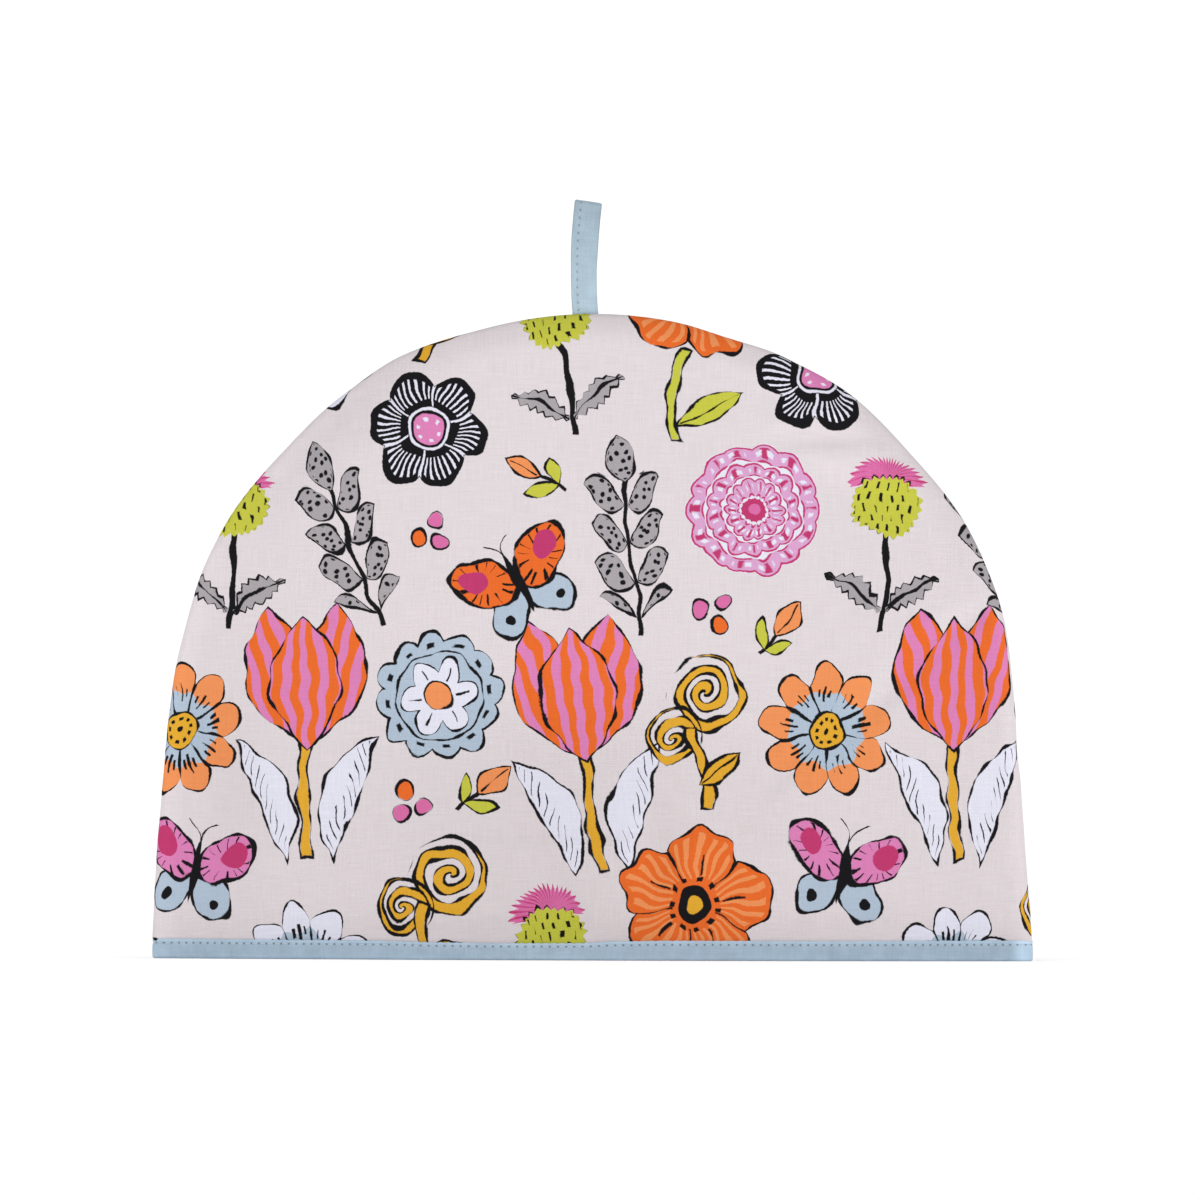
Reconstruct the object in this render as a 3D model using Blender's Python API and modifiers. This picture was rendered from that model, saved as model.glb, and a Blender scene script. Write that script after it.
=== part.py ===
"""A wadded tea cosy, standing opened on its bound hem.

Two half-dome panels of printed cloth, wadding and lining are seamed along their
curved edge. One strip of binding folds round the hem of both, and a folded strip
of the same cloth stands in the top of the seam as a hanging loop.

Metres, +Z up. X runs across the face, the front panel faces -Y, and the origin is
on the floor under the middle of the hem.
"""

import math

import bmesh
import bpy
from mathutils import Vector

# Driving dimensions
HEM_WIDTH = 0.350  # across the binding, corner to corner
HEM_DEPTH = 0.106  # front to back across the opened hem, outside the binding
DOME_RADIUS = 0.170  # the curved seam, outside
SKIRT_HEIGHT = 0.088  # floor to the level where the dome begins
SKIRT_FLARE = 0.0051  # how far the straight sides spread below that level
PANEL_THICKNESS = 0.0055  # printed cloth, wadding and lining together
PRESSED_THICKNESS = 0.0032  # the same where a seam or the binding presses it flat
SEAM_ROUNDING = 0.0035  # radius in which a panel turns over to the seam
BINDING_HEIGHT = 0.009
BINDING_THICKNESS = 0.001
BINDING_PULL = 0.0008  # how far the binding draws the hem in
LOOP_HEIGHT = 0.0445
LOOP_WIDTH = 0.0108
LOOP_THICKNESS = 0.0014  # a strip folded to two layers and stitched
LOOP_SLACK = 0.0030  # how far each leg of the loop bows out
GAP = 0.0003  # between one piece and the next

# Where wadding fills out again beside a seam and above the binding
SEAM_FILL = 0.018
HEM_FILL = 0.016
# Share of the opening that is lost from the hem to the top, on top of the lens shape
CLOSING = 0.5

# Soft folds of each panel: middle, half length and half width in metres, the
# angle of the fold from level in degrees, and its height (a trough is negative)
FOLD_COLUMNS = ("x", "z", "length", "width", "angle", "height")
FRONT_FOLDS = (
    (0.098, 0.219, 0.030, 0.0060, -4, -0.0011),
    (0.104, 0.207, 0.036, 0.0060, -2, 0.0010),
    (0.148, 0.133, 0.026, 0.0060, 28, -0.0013),
    (0.112, 0.108, 0.030, 0.0090, 34, -0.0010),
    (0.026, 0.034, 0.026, 0.0070, 84, -0.0009),
    (0.043, 0.032, 0.026, 0.0070, 92, 0.0008),
    (-0.118, 0.196, 0.032, 0.0110, 48, -0.0010),
    (-0.142, 0.060, 0.045, 0.0140, 97, -0.0010),
    (-0.040, 0.100, 0.060, 0.0300, 15, 0.0012),
)
BACK_FOLDS = (
    (-0.102, 0.205, 0.034, 0.0080, 12, -0.0011),
    (0.120, 0.170, 0.040, 0.0110, -35, -0.0011),
    (0.134, 0.052, 0.040, 0.0110, 84, 0.0009),
    (-0.060, 0.036, 0.028, 0.0080, 95, -0.0010),
    (0.030, 0.110, 0.060, 0.0300, -12, 0.0012),
)

# Divisions of the solids
COLUMNS = 38
ROWS = 24
LEG_STEPS = 12
FOLD_STEPS = 8
LOOP_COLUMNS = 4

# Colours (linear RGB) and roughness
BLUSH = (0.74, 0.68, 0.69, 1.0)
BLUE = (0.40, 0.52, 0.61, 1.0)
CLOTH_ROUGHNESS = 0.9

# Worked out from the driving dimensions; "mid" is the middle of a panel's thickness
HALF_PRESSED = PRESSED_THICKNESS / 2
MID_DOME_RADIUS = DOME_RADIUS - HALF_PRESSED
BINDING_REACH = HALF_PRESSED + GAP + BINDING_THICKNESS
MID_HEM_HALF_WIDTH = HEM_WIDTH / 2 - BINDING_REACH
MID_HEM_HALF_DEPTH = HEM_DEPTH / 2 - BINDING_REACH
PANEL_BOTTOM = BINDING_THICKNESS + GAP
PANEL_TOP = SKIRT_HEIGHT + DOME_RADIUS
MID_HEIGHT = SKIRT_HEIGHT + MID_DOME_RADIUS - PANEL_BOTTOM
OPENING = (MID_HEM_HALF_DEPTH + BINDING_PULL - SEAM_ROUNDING) / (
    1 - CLOSING * BINDING_HEIGHT / PANEL_TOP
)
LOOP_ROOT = PANEL_TOP + GAP
LOOP_FOLD_RADIUS = 0.0020
LOOP_ROOT_OFFSET = (LOOP_THICKNESS + GAP) / 2


def ramp(low, high, value):
    """0 below low, 1 above high, and a smooth rise between."""
    share = min(1.0, max(0.0, (value - low) / (high - low)))
    return share * share * (3 - 2 * share)


def above_binding(z):
    """0 behind the binding, 1 where the panel has filled out above it."""
    return ramp(BINDING_HEIGHT, BINDING_HEIGHT + HEM_FILL, z)


def skirt_half_width(z):
    """Half width of the mid surface below the dome: a slight flare, drawn in at the hem."""
    level = max(z, BINDING_HEIGHT)
    below = max(0.0, 1 - level / SKIRT_HEIGHT)
    flare = SKIRT_FLARE * below**1.1
    return MID_DOME_RADIUS + flare - BINDING_PULL * (1 - above_binding(level))


def outline_half_width(z):
    """Half width of the mid surface's outline: flared sides under a half circle."""
    if z <= SKIRT_HEIGHT:
        return skirt_half_width(z)
    return math.sqrt(max(0.0, MID_DOME_RADIUS**2 - (z - SKIRT_HEIGHT) ** 2))


def seam_distance(x, z):
    """Distance in from the mid surface's outline, square to it."""
    if z <= SKIRT_HEIGHT:
        return max(0.0, skirt_half_width(z) - abs(x))
    return max(0.0, MID_DOME_RADIUS - math.hypot(x, z - SKIRT_HEIGHT))


def outward(x, z):
    """Unit direction in the seam's plane that points out through the nearest seam."""
    if z <= SKIRT_HEIGHT:
        step = 0.001
        lean = (skirt_half_width(z - step) - skirt_half_width(z + step)) / (2 * step)
        return Vector((math.copysign(1.0, x), 0.0, lean)).normalized()
    return Vector((x, 0.0, z - SKIRT_HEIGHT)).normalized()


def fold_height(x, z, folds):
    """Sum of the soft folds at a point, each a bell along and across its own line."""
    total = 0.0
    for row in folds:
        fold = dict(zip(FOLD_COLUMNS, row))
        turn = math.radians(fold["angle"])
        dx, dz = x - fold["x"], z - fold["z"]
        along = (dx * math.cos(turn) + dz * math.sin(turn)) / fold["length"]
        across = (dz * math.cos(turn) - dx * math.sin(turn)) / fold["width"]
        total += fold["height"] * math.exp(-(along**2) - across**2)
    return total


def opening_depth(x, z, folds):
    """How far the opened cosy holds the mid surface off the seam's plane, without
    the rounding at the seam: a lens across, closing towards the top."""
    level = max(z, BINDING_HEIGHT)
    across = x / skirt_half_width(level)
    up = max(0.0, level - SKIRT_HEIGHT) / MID_DOME_RADIUS
    lens = max(0.0, 1 - across**2 - up**2)
    closing = 1 - CLOSING * level / PANEL_TOP
    pull = BINDING_PULL * (1 - above_binding(level))
    held = ramp(0.0, SEAM_FILL, seam_distance(x, z))
    return OPENING * closing * lens + held * (
        fold_height(x, z, folds) * above_binding(z) - pull
    )


def mid_surface(x, z, folds):
    """The front panel's middle at (x, z): its point, and its outward unit normal."""
    turn = 1 - min(1.0, seam_distance(x, z) / SEAM_ROUNDING)
    rise = math.sqrt(1 - turn * turn)
    depth = SEAM_ROUNDING * rise + opening_depth(x, z, folds)
    step = 0.0005
    slope_x = opening_depth(x + step, z, folds) - opening_depth(x - step, z, folds)
    slope_z = opening_depth(x, z + step, folds) - opening_depth(x, z - step, folds)
    if z <= BINDING_HEIGHT:
        slope_z = 0.0
    slope = Vector((slope_x, 0.0, slope_z)) / (2 * step)
    normal = outward(x, z) * turn - slope * rise + Vector((0.0, -rise, 0.0))
    return Vector((x, -depth, z)), normal.normalized()


def panel_thickness(x, z):
    """Full thickness, thinning where the seam and the binding press the wadding."""
    free = ramp(0.0, SEAM_FILL, seam_distance(x, z)) * above_binding(z)
    return PRESSED_THICKNESS + (PANEL_THICKNESS - PRESSED_THICKNESS) * free


def dome_place(across, up):
    """(x, z) on the panel's face for a place on a square, across from -1 to 1 and up
    from 0 to 1: the elliptical map of a square to a half disc, stretched to the
    outline. Columns crowd towards the seam, and rows towards the seam and the hem."""
    u = math.sin(across * math.pi / 2)
    v = (1 - math.cos(up * math.pi)) / 2
    disc_x = u * math.sqrt(1 - v * v / 2)
    disc_z = v * math.sqrt(1 - u * u / 2)
    z = PANEL_BOTTOM + MID_HEIGHT * disc_z
    widest = math.sqrt(max(0.0, 1 - disc_z * disc_z))
    half_width = outline_half_width(z)
    if widest < 1e-6:
        return 0.0, z
    return disc_x / widest * half_width, z


def place_on_panel(across, up, side, folds):
    """Point of the front panel's outer face (side 1) or lining face (side -1)."""
    x, z = dome_place(across, up)
    point, normal = mid_surface(x, z, folds)
    point = point + normal * side * panel_thickness(x, z) / 2
    point.y = min(point.y, -GAP / 2)
    return point


def add_material(obj, name, colour):
    """Gives the object a matt cloth material of its own."""
    material = bpy.data.materials.new(name)
    material.use_nodes = True
    shader = material.node_tree.nodes["Principled BSDF"]
    shader.inputs["Base Color"].default_value = colour
    shader.inputs["Roughness"].default_value = CLOTH_ROUGHNESS
    shader.inputs["Metallic"].default_value = 0.0
    obj.data.materials.append(material)


def mesh_object(name, bm, collection):
    """A smooth-shaded object that takes over the bmesh."""
    mesh = bpy.data.meshes.new(name)
    bm.to_mesh(mesh)
    bm.free()
    mesh.shade_smooth()
    mesh.set_sharp_from_angle(angle=math.radians(50))
    obj = bpy.data.objects.new(name, mesh)
    collection.objects.link(obj)
    return obj


def add_panel(name, folds, facing, collection):
    """A panel: a flat grid thickened to a slab, each point then put on its face.
    facing is 1 for the front panel and -1 for the back one."""
    bm = bmesh.new()
    bmesh.ops.create_grid(bm, x_segments=COLUMNS, y_segments=ROWS, size=1.0)
    bmesh.ops.solidify(bm, geom=bm.faces[:], thickness=0.5)
    for vert in bm.verts:
        side = 1 if abs(vert.co.z) < 0.25 else -1
        place = place_on_panel(vert.co.x, (vert.co.y + 1) / 2, side, folds)
        place.y *= facing
        vert.co = place
    if bm.calc_volume(signed=True) < 0:
        bmesh.ops.reverse_faces(bm, faces=bm.faces[:])
    panel = mesh_object(name, bm, collection)
    add_material(panel, name + "_cloth", BLUSH)


def hem_line():
    """Points round the middle of the hem's thickness, front edge first."""
    front = []
    for column in range(COLUMNS + 1):
        across = 2 * column / COLUMNS - 1
        x = math.sin(across * math.pi / 2) * MID_HEM_HALF_WIDTH
        front.append(mid_surface(x, PANEL_BOTTOM, ())[0])
    back = [Vector((point.x, -point.y, point.z)) for point in front[-2:0:-1]]
    return front + back


def poly_curve(name, points, closed, collection):
    """A curve object with one straight-segment spline through the points."""
    curve = bpy.data.curves.new(name, "CURVE")
    curve.dimensions = "3D"
    curve.twist_mode = "Z_UP"
    spline = curve.splines.new("POLY")
    spline.points.add(len(points) - 1)
    for target, point in zip(spline.points, points):
        target.co = (point[0], point[1], point[2], 1.0)
    spline.use_cyclic_u = closed
    obj = bpy.data.objects.new(name, curve)
    collection.objects.link(obj)
    return obj


def add_binding(collection, guides):
    """The binding: a U-shaped section, folded at the floor, carried round the hem."""
    outer = BINDING_REACH
    inner = BINDING_REACH - BINDING_THICKNESS
    corner = 0.0008
    section_points = (
        (outer, corner, 0.0),
        (outer - corner * 0.3, corner * 0.3, 0.0),
        (outer - corner, 0.0, 0.0),
        (-outer + corner, 0.0, 0.0),
        (-outer + corner * 0.3, corner * 0.3, 0.0),
        (-outer, corner, 0.0),
        (-outer, BINDING_HEIGHT, 0.0),
        (-inner, BINDING_HEIGHT, 0.0),
        (-inner, BINDING_THICKNESS, 0.0),
        (inner, BINDING_THICKNESS, 0.0),
        (inner, BINDING_HEIGHT, 0.0),
        (outer, BINDING_HEIGHT, 0.0),
    )
    section = poly_curve("binding_section", section_points, True, guides)
    section.hide_render = True
    section.display_type = "WIRE"
    path_points = [(point.x, point.y, 0.0) for point in hem_line()]
    binding = poly_curve("hem_binding", path_points, True, collection)
    binding.data.bevel_mode = "OBJECT"
    binding.data.bevel_object = section
    add_material(binding, "binding_cloth", BLUE)


def loop_line():
    """The folded strip seen from the side, as (y, z) from its root: up the front
    leg, over the fold and down the back leg."""
    leg_height = LOOP_HEIGHT - LOOP_FOLD_RADIUS - LOOP_THICKNESS / 2
    front = []
    for step in range(LEG_STEPS):
        share = step / LEG_STEPS
        spread = LOOP_ROOT_OFFSET + (LOOP_FOLD_RADIUS - LOOP_ROOT_OFFSET) * ramp(0, 1, share)
        bow = LOOP_SLACK * math.sin(math.pi * share) ** 1.5
        front.append((-spread - bow, leg_height * share))
    back = [(-y, z) for y, z in reversed(front)]
    fold = []
    for step in range(FOLD_STEPS + 1):
        turn = math.pi * (1 - step / FOLD_STEPS)
        fold.append(
            (
                LOOP_FOLD_RADIUS * math.cos(turn),
                leg_height + LOOP_FOLD_RADIUS * math.sin(turn),
            )
        )
    return front + fold + back


def add_loop(collection):
    """The hanging loop: a strip of width LOOP_WIDTH on the folded line, given its
    thickness. It leans a little to the right, and its fold runs down to the right."""
    line = loop_line()
    root_x, lean, slant = -0.0029, 0.0013, 0.15
    bm = bmesh.new()
    bmesh.ops.create_grid(bm, x_segments=LOOP_COLUMNS, y_segments=len(line) - 1, size=1.0)
    for vert in bm.verts:
        index = round((vert.co.y + 1) / 2 * (len(line) - 1))
        y, height = line[index]
        share = height / LOOP_HEIGHT
        from_middle = vert.co.x * LOOP_WIDTH / 2
        drop = slant * from_middle * share**2
        vert.co = (
            root_x + lean * share**3 + from_middle,
            y,
            LOOP_ROOT + height - drop,
        )
    bmesh.ops.recalc_face_normals(bm, faces=bm.faces[:])
    loop = mesh_object("hanging_loop", bm, collection)
    thickness = loop.modifiers.new("strip_thickness", "SOLIDIFY")
    thickness.thickness = LOOP_THICKNESS
    thickness.offset = 0.0
    add_material(loop, "loop_cloth", BLUE)


def main():
    for obj in list(bpy.data.objects):
        bpy.data.objects.remove(obj, do_unlink=True)
    parts = bpy.data.collections.new("tea_cosy")
    guides = bpy.data.collections.new("guides")
    bpy.context.scene.collection.children.link(parts)
    bpy.context.scene.collection.children.link(guides)
    add_panel("front_panel", FRONT_FOLDS, 1, parts)
    add_panel("back_panel", BACK_FOLDS, -1, parts)
    add_binding(parts, guides)
    add_loop(parts)


main()
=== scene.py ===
"""The looks of the wadded tea cosy: printed panels, bound hem, hanging loop, stitching.

Lengths are metres, except on the printed cloth, where drawings are laid out in
millimetres. The front panel faces -Y and the cosy stands on the plane Z = 0.
"""

import math

import bpy
import numpy as np
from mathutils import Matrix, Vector


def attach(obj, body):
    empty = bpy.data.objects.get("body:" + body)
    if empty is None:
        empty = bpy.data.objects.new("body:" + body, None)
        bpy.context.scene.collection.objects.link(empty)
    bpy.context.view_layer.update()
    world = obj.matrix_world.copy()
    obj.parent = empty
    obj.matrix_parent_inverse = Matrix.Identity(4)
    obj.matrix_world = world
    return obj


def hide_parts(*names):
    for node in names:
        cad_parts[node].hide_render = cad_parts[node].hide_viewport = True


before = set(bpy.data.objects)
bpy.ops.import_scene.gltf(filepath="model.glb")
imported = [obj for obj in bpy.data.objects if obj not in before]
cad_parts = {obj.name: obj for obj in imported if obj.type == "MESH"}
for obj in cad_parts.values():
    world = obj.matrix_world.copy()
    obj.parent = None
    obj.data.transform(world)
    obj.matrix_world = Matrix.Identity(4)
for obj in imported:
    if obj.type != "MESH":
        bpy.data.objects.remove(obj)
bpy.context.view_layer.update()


def named(columns, *rows):
    """The rows of a table, each with its values under the names of its columns."""
    return [dict(zip(columns, row)) for row in rows]


# ---------------------------------------------------------------- sizes of the cosy
MILLIMETRES = 1000  # in a metre
HEM_WIDTH = 0.350
HEM_DEPTH = 0.106
DOME_RADIUS = 0.170
SKIRT_HEIGHT = 0.088
SKIRT_FLARE = 0.0051
SKIRT_POWER = 1.1  # by which the flare grows down the skirt
PANEL_THICKNESS = 0.0055
PRESSED_THICKNESS = 0.0032
SEAM_ROUNDING = 0.0035
BINDING_HEIGHT = 0.0083
BINDING_THICKNESS = 0.001
BINDING_PULL = 0.0008  # how far the binding draws in the panel's foot
GAP = 0.0003  # left between two pieces that are sewn together
SEAM_FILL = 0.018  # how far in from the seam the panel is pressed thinner
HEM_FILL = 0.016  # how far above the binding it is
CLOSING = 0.5  # the share of the opening that is lost from the hem to the top

LOOP_HEIGHT = 0.0433
LOOP_WIDTH = 0.0108
LOOP_THICKNESS = 0.0014
LOOP_SLACK, LOOP_SLACK_POWER = 0.0030, 1.5  # how far each leg bows out
LOOP_MIDDLE = -0.0038  # its place across

HALF_PRESSED = PRESSED_THICKNESS / 2
MID_DOME_RADIUS = DOME_RADIUS - HALF_PRESSED
BINDING_REACH = HALF_PRESSED + GAP + BINDING_THICKNESS
MID_HEM_HALF_WIDTH = HEM_WIDTH / 2 - BINDING_REACH
MID_HEM_HALF_DEPTH = HEM_DEPTH / 2 - BINDING_REACH
PANEL_BOTTOM = BINDING_THICKNESS + GAP
PANEL_TOP = SKIRT_HEIGHT + DOME_RADIUS
OPENING = (MID_HEM_HALF_DEPTH + BINDING_PULL - SEAM_ROUNDING) / (
    1 - CLOSING * BINDING_HEIGHT / PANEL_TOP
)

# Above the binding the cloth curls tighter and turns back into the seam's groove
CURL_RADIUS = 0.0031
CURL_BACK = math.radians(40)

# Soft folds: middle, half length and half width, angle from level in degrees, height, and
# how much painted light (painted shade where negative) lies on its line
FOLD_COLUMNS = ("x", "z", "length", "width", "angle", "height", "light")
FRONT_FOLDS = named(
    FOLD_COLUMNS,
    (0.088, 0.2290, 0.026, 0.0060, -8, 0.0010, 0.045),
    (0.092, 0.2195, 0.018, 0.0030, 8, -0.0008, -0.080),
    (0.095, 0.2115, 0.028, 0.0050, 3, 0.0012, 0.060),
    (0.094, 0.2035, 0.024, 0.0030, 4, -0.0009, -0.095),
    (0.106, 0.1920, 0.034, 0.0070, -14, 0.0015, 0.065),
    (0.145, 0.1370, 0.022, 0.0042, 29, 0.0014, 0.070),
    (0.155, 0.1350, 0.011, 0.0038, 40, -0.0013, -0.080),
    (0.112, 0.1080, 0.022, 0.0050, 40, 0.0011, 0.050),
    (0.119, 0.1020, 0.020, 0.0040, 42, -0.0008, -0.045),
    (0.077, 0.0720, 0.020, 0.0032, 52, -0.0007, -0.040),
    (-0.007, 0.0210, 0.012, 0.0036, -66, -0.0009, -0.050),
    (0.018, 0.0420, 0.014, 0.0052, 90, 0.0010, 0.045),
    (0.030, 0.0360, 0.016, 0.0052, 90, -0.0010, -0.045),
    (0.043, 0.0300, 0.016, 0.0052, 92, 0.0009, 0.040),
    (-0.010, 0.0470, 0.050, 0.0028, 1, -0.0003, -0.030),
    (-0.118, 0.1960, 0.034, 0.0110, 48, -0.0015, -0.050),
    (-0.090, 0.2180, 0.022, 0.0100, 36, -0.0010, -0.045),
    (-0.142, 0.0600, 0.045, 0.0140, 97, -0.0014, -0.050),
    (-0.040, 0.1000, 0.060, 0.0300, 15, 0.0014, 0.0),
    (-0.020, 0.1650, 0.050, 0.0260, -20, -0.0009, 0.0),
)
BACK_FOLDS = named(
    FOLD_COLUMNS,
    (-0.102, 0.205, 0.034, 0.0060, 12, -0.0015, -0.070),
    (-0.098, 0.215, 0.026, 0.0050, 10, 0.0013, 0.060),
    (0.120, 0.170, 0.040, 0.0090, -35, -0.0014, -0.060),
    (0.126, 0.186, 0.030, 0.0060, -33, 0.0011, 0.050),
    (0.134, 0.052, 0.040, 0.0110, 84, 0.0012, 0.050),
    (-0.060, 0.036, 0.028, 0.0060, 95, -0.0012, -0.055),
    (-0.048, 0.032, 0.024, 0.0055, 92, 0.0010, 0.045),
    (0.012, 0.022, 0.014, 0.0040, 70, -0.0009, -0.050),
    (0.030, 0.110, 0.060, 0.0300, -12, 0.0015, 0.0),
)

# How far the sewn seam lies out from the plain outline, by the place along the seam
# from the top of the dome: it runs in slow waves, as hand-fed cloth does
SEAM_SET_COLUMNS = ("along", "out")
SEAM_SET = named(
    SEAM_SET_COLUMNS,
    (-0.344, 0.00125),
    (-0.333, 0.00065),
    (-0.310, 0.00080),
    (-0.290, 0.00030),
    (-0.275, -0.00010),
    (-0.249, -0.00150),
    (-0.222, -0.00190),
    (-0.196, -0.00090),
    (-0.178, -0.00080),
    (-0.139, -0.00205),
    (-0.107, -0.00105),
    (-0.083, 0.00010),
    (-0.045, -0.00145),
    (0.000, -0.00125),
    (0.030, -0.00130),
    (0.053, -0.00205),
    (0.080, -0.00050),
    (0.107, 0.00060),
    (0.142, -0.00065),
    (0.178, 0.00070),
    (0.208, 0.00030),
    (0.249, -0.00200),
    (0.270, -0.00180),
    (0.285, -0.00090),
    (0.310, -0.00055),
    (0.327, -0.00030),
    (0.338, 0.00030),
    (0.344, 0.00080),
)

# Small puckers where the seam and the binding gather the cloth, as waves along the
# seam
PUCKER_COLUMNS = ("length", "height", "phase")
PUCKERS = named(
    PUCKER_COLUMNS,
    (0.0091, 0.00016, 0.3),
    (0.0137, 0.00020, 1.9),
    (0.0233, 0.00024, 4.1),
)
# Where the puckers rise from nothing, stand highest and have died away, in from the
# seam and up from the binding's top edge
SEAM_PUCKERS = (0.002, 0.006, 0.020)
HEM_PUCKERS = (-0.001, 0.003, 0.018)
HEM_PUCKER_RATE, HEM_PUCKER_PHASE = 0.8, 2.7  # against those along the seam
PUCKER_RISE = 0.3  # the power by which they grow above the binding

# Slow unevenness of the wadding, as wave lengths across and up
SWELL_COLUMNS = ("across", "up", "height", "phase")
SWELLS = named(
    SWELL_COLUMNS,
    (0.071, 0.093, 0.00028, 0.6),
    (0.113, 0.058, 0.00030, 2.2),
    (0.047, 0.120, 0.00020, 4.4),
)

# Painted light and shade along the seam and the hem: darker bands and a darker patch over
# the top, lighter bands along the sides, and darker cloth above the hem and low in the
# middle. A range is where a band is full and where it is gone, in from the seam
TOP_BAND, TOP_BAND_RANGE = 0.13, (0.006, 0.018)
TOP_LINE, TOP_LINE_RANGE = 0.10, (0.001, 0.006)
TOP_FADE_LEFT, TOP_FADE_RIGHT = 1.75, 1.2  # how fast both fade with the angle
PATCH, PATCH_RANGE = 0.03, (0.010, 0.036)
PATCH_ANGLE, PATCH_TIGHTNESS = -0.6, 14  # a patch of painted shade, left of the top
SIDE_ANGLES = (0.9, 1.4)  # where the painted light along the sides begins, and where it is full
LEFT_BAND, LEFT_BAND_RANGE = 0.10, (0.005, 0.018)
RIGHT_BAND, RIGHT_BAND_RANGE = 0.06, (0.005, 0.015)
LEFT_EDGE, LEFT_EDGE_REACH = 0.05, 0.002
RIGHT_EDGE, RIGHT_EDGE_REACH = 0.26, 0.004
HEM_SHADE, HEM_SHADE_REACH = 0.06, 0.007
LOW_SHADE, LOW_SHADE_HEIGHTS = 0.09, (0.065, 0.125)
LOW_SHADE_MIDDLE, LOW_SHADE_HALF_WIDTH = -0.015, 0.080

SEAM_SET_HEIGHTS = (0.0060, 0.0080)  # between these the seam starts on its waves
LOOP_PARTING, LOOP_PARTING_RANGE = 0.0007, (0.004, 0.011)
LOOP_PARTING_LOWEST = SKIRT_HEIGHT + 0.1
CLOTH_RISE = 1.012  # length up the sloping cloth, against its height

PANEL_COLUMNS = 220
PANEL_ROWS = 132
LINING_SHIFT = (0.0, 0.003)  # how far the lining's weave is moved from the print's
BACK_PRINT_SHIFT = (0.093, 0.061)
BAKE_MARGIN = 0.008  # left round the panel on its bake map
LINING_BAKE_SIZE, LINING_BAKE_CORNER = (0.3, 0.28), (0.0, 0.78)


# ---------------------------------------------------------------- shape of the cosy
def eased(share):
    """The cubic 3t^2 - 2t^3, which is level at 0 and at 1."""
    return share * share * (3 - 2 * share)


def ramp(low, high, value):
    """0 below low, 1 above high, and the cubic 3t^2 - 2t^3 between."""
    return eased(np.clip((value - low) / (high - low), 0.0, 1.0))


def fade(full, gone, value):
    """1 up to full and 0 from gone on: 1 less the ramp."""
    return 1 - ramp(full, gone, value)


def hump(start, peak, end, value):
    """The ramp from start to peak times the fade from peak to end."""
    return ramp(start, peak, value) * fade(peak, end, value)


def between(rows, place, number, value):
    """A number from the rows of a table by its place, with the curve 3t^2 - 2t^3 from
    each row to the next."""
    places = np.array([row[place] for row in rows])
    numbers = np.array([row[number] for row in rows])
    after = np.clip(np.searchsorted(places, value), 1, len(places) - 1)
    share = ramp(places[after - 1], places[after], value)
    return numbers[after - 1] + (numbers[after] - numbers[after - 1]) * share


def unit(vectors):
    """Vectors divided by their lengths."""
    return vectors / np.linalg.norm(vectors, axis=-1, keepdims=True)


def above_binding(z):
    """0 behind the binding, 1 where the panel has filled out above it."""
    return ramp(BINDING_HEIGHT, BINDING_HEIGHT + HEM_FILL, z)


def skirt_half_width(z):
    """Half width of the panel's mid surface below the dome: the dome's radius, plus the
    flare times a power of the way down the skirt, less the binding's pull."""
    level = np.maximum(z, BINDING_HEIGHT)
    below = np.maximum(0.0, 1 - level / SKIRT_HEIGHT)
    flare = SKIRT_FLARE * below**SKIRT_POWER
    return MID_DOME_RADIUS + flare - BINDING_PULL * (1 - above_binding(level))


def outline(x, z, grown):
    """Distance in from the mid surface's outline grown by `grown`, and the unit
    direction (across, up) that points out through the nearest seam."""
    on_skirt = z <= SKIRT_HEIGHT
    step = 0.001
    lean = (skirt_half_width(z - step) - skirt_half_width(z + step)) / (2 * step)
    size = np.sqrt(1 + lean**2)
    radius = np.maximum(np.hypot(x, z - SKIRT_HEIGHT), 1e-9)
    distance = np.where(
        on_skirt,
        skirt_half_width(z) + grown - np.abs(x),
        MID_DOME_RADIUS + grown - radius,
    )
    across = np.where(on_skirt, np.where(x < 0, -1.0, 1.0) / size, x / radius)
    up = np.where(on_skirt, lean / size, (z - SKIRT_HEIGHT) / radius)
    return np.maximum(distance, 0.0), across, up


def fold_sum(x, z, folds, column):
    """Sum of one column over the folds, each times exp(-along^2 - across^2), measured
    along and across its own line in half lengths and half widths."""
    total = np.zeros_like(x)
    for fold in folds:
        turn = math.radians(fold["angle"])
        dx, dz = x - fold["x"], z - fold["z"]
        along = (dx * math.cos(turn) + dz * math.sin(turn)) / fold["length"]
        across = (dz * math.cos(turn) - dx * math.sin(turn)) / fold["width"]
        total = total + fold[column] * np.exp(-(along**2) - across**2)
    return total


def swell_height(x, z):
    """Slow waves of the wadding: height times sin(across) times sin(up)."""
    total = np.zeros_like(x)
    for wave in SWELLS:
        side = np.sin(2 * math.pi * x / wave["across"] + wave["phase"])
        rise = np.sin(2 * math.pi * z / wave["up"] + 2 * wave["phase"])
        total = total + wave["height"] * side * rise
    return total


def opening_depth(x, z, folds):
    """How far the opened cosy holds its mid surface off the seam's plane: a lens
    1 - (x/W)^2 - (rise/R)^2 across, closing towards the top, plus folds and swells."""
    level = np.maximum(z, BINDING_HEIGHT)
    across = x / skirt_half_width(level)
    up = np.maximum(0.0, level - SKIRT_HEIGHT) / MID_DOME_RADIUS
    lens = np.maximum(0.0, 1 - across**2 - up**2)
    closing = 1 - CLOSING * level / PANEL_TOP
    pull = BINDING_PULL * (1 - above_binding(level))
    held = ramp(0.0, SEAM_FILL, outline(x, z, 0.0)[0])
    soft = fold_sum(x, z, folds, "height") + swell_height(x, z)
    return OPENING * closing * lens + held * (soft * above_binding(z) - pull)


def dome_angle(x, z):
    """Angle round the dome's middle from straight up, growing to the right."""
    return np.arctan2(x, np.maximum(z - SKIRT_HEIGHT, 1e-6))


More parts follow.
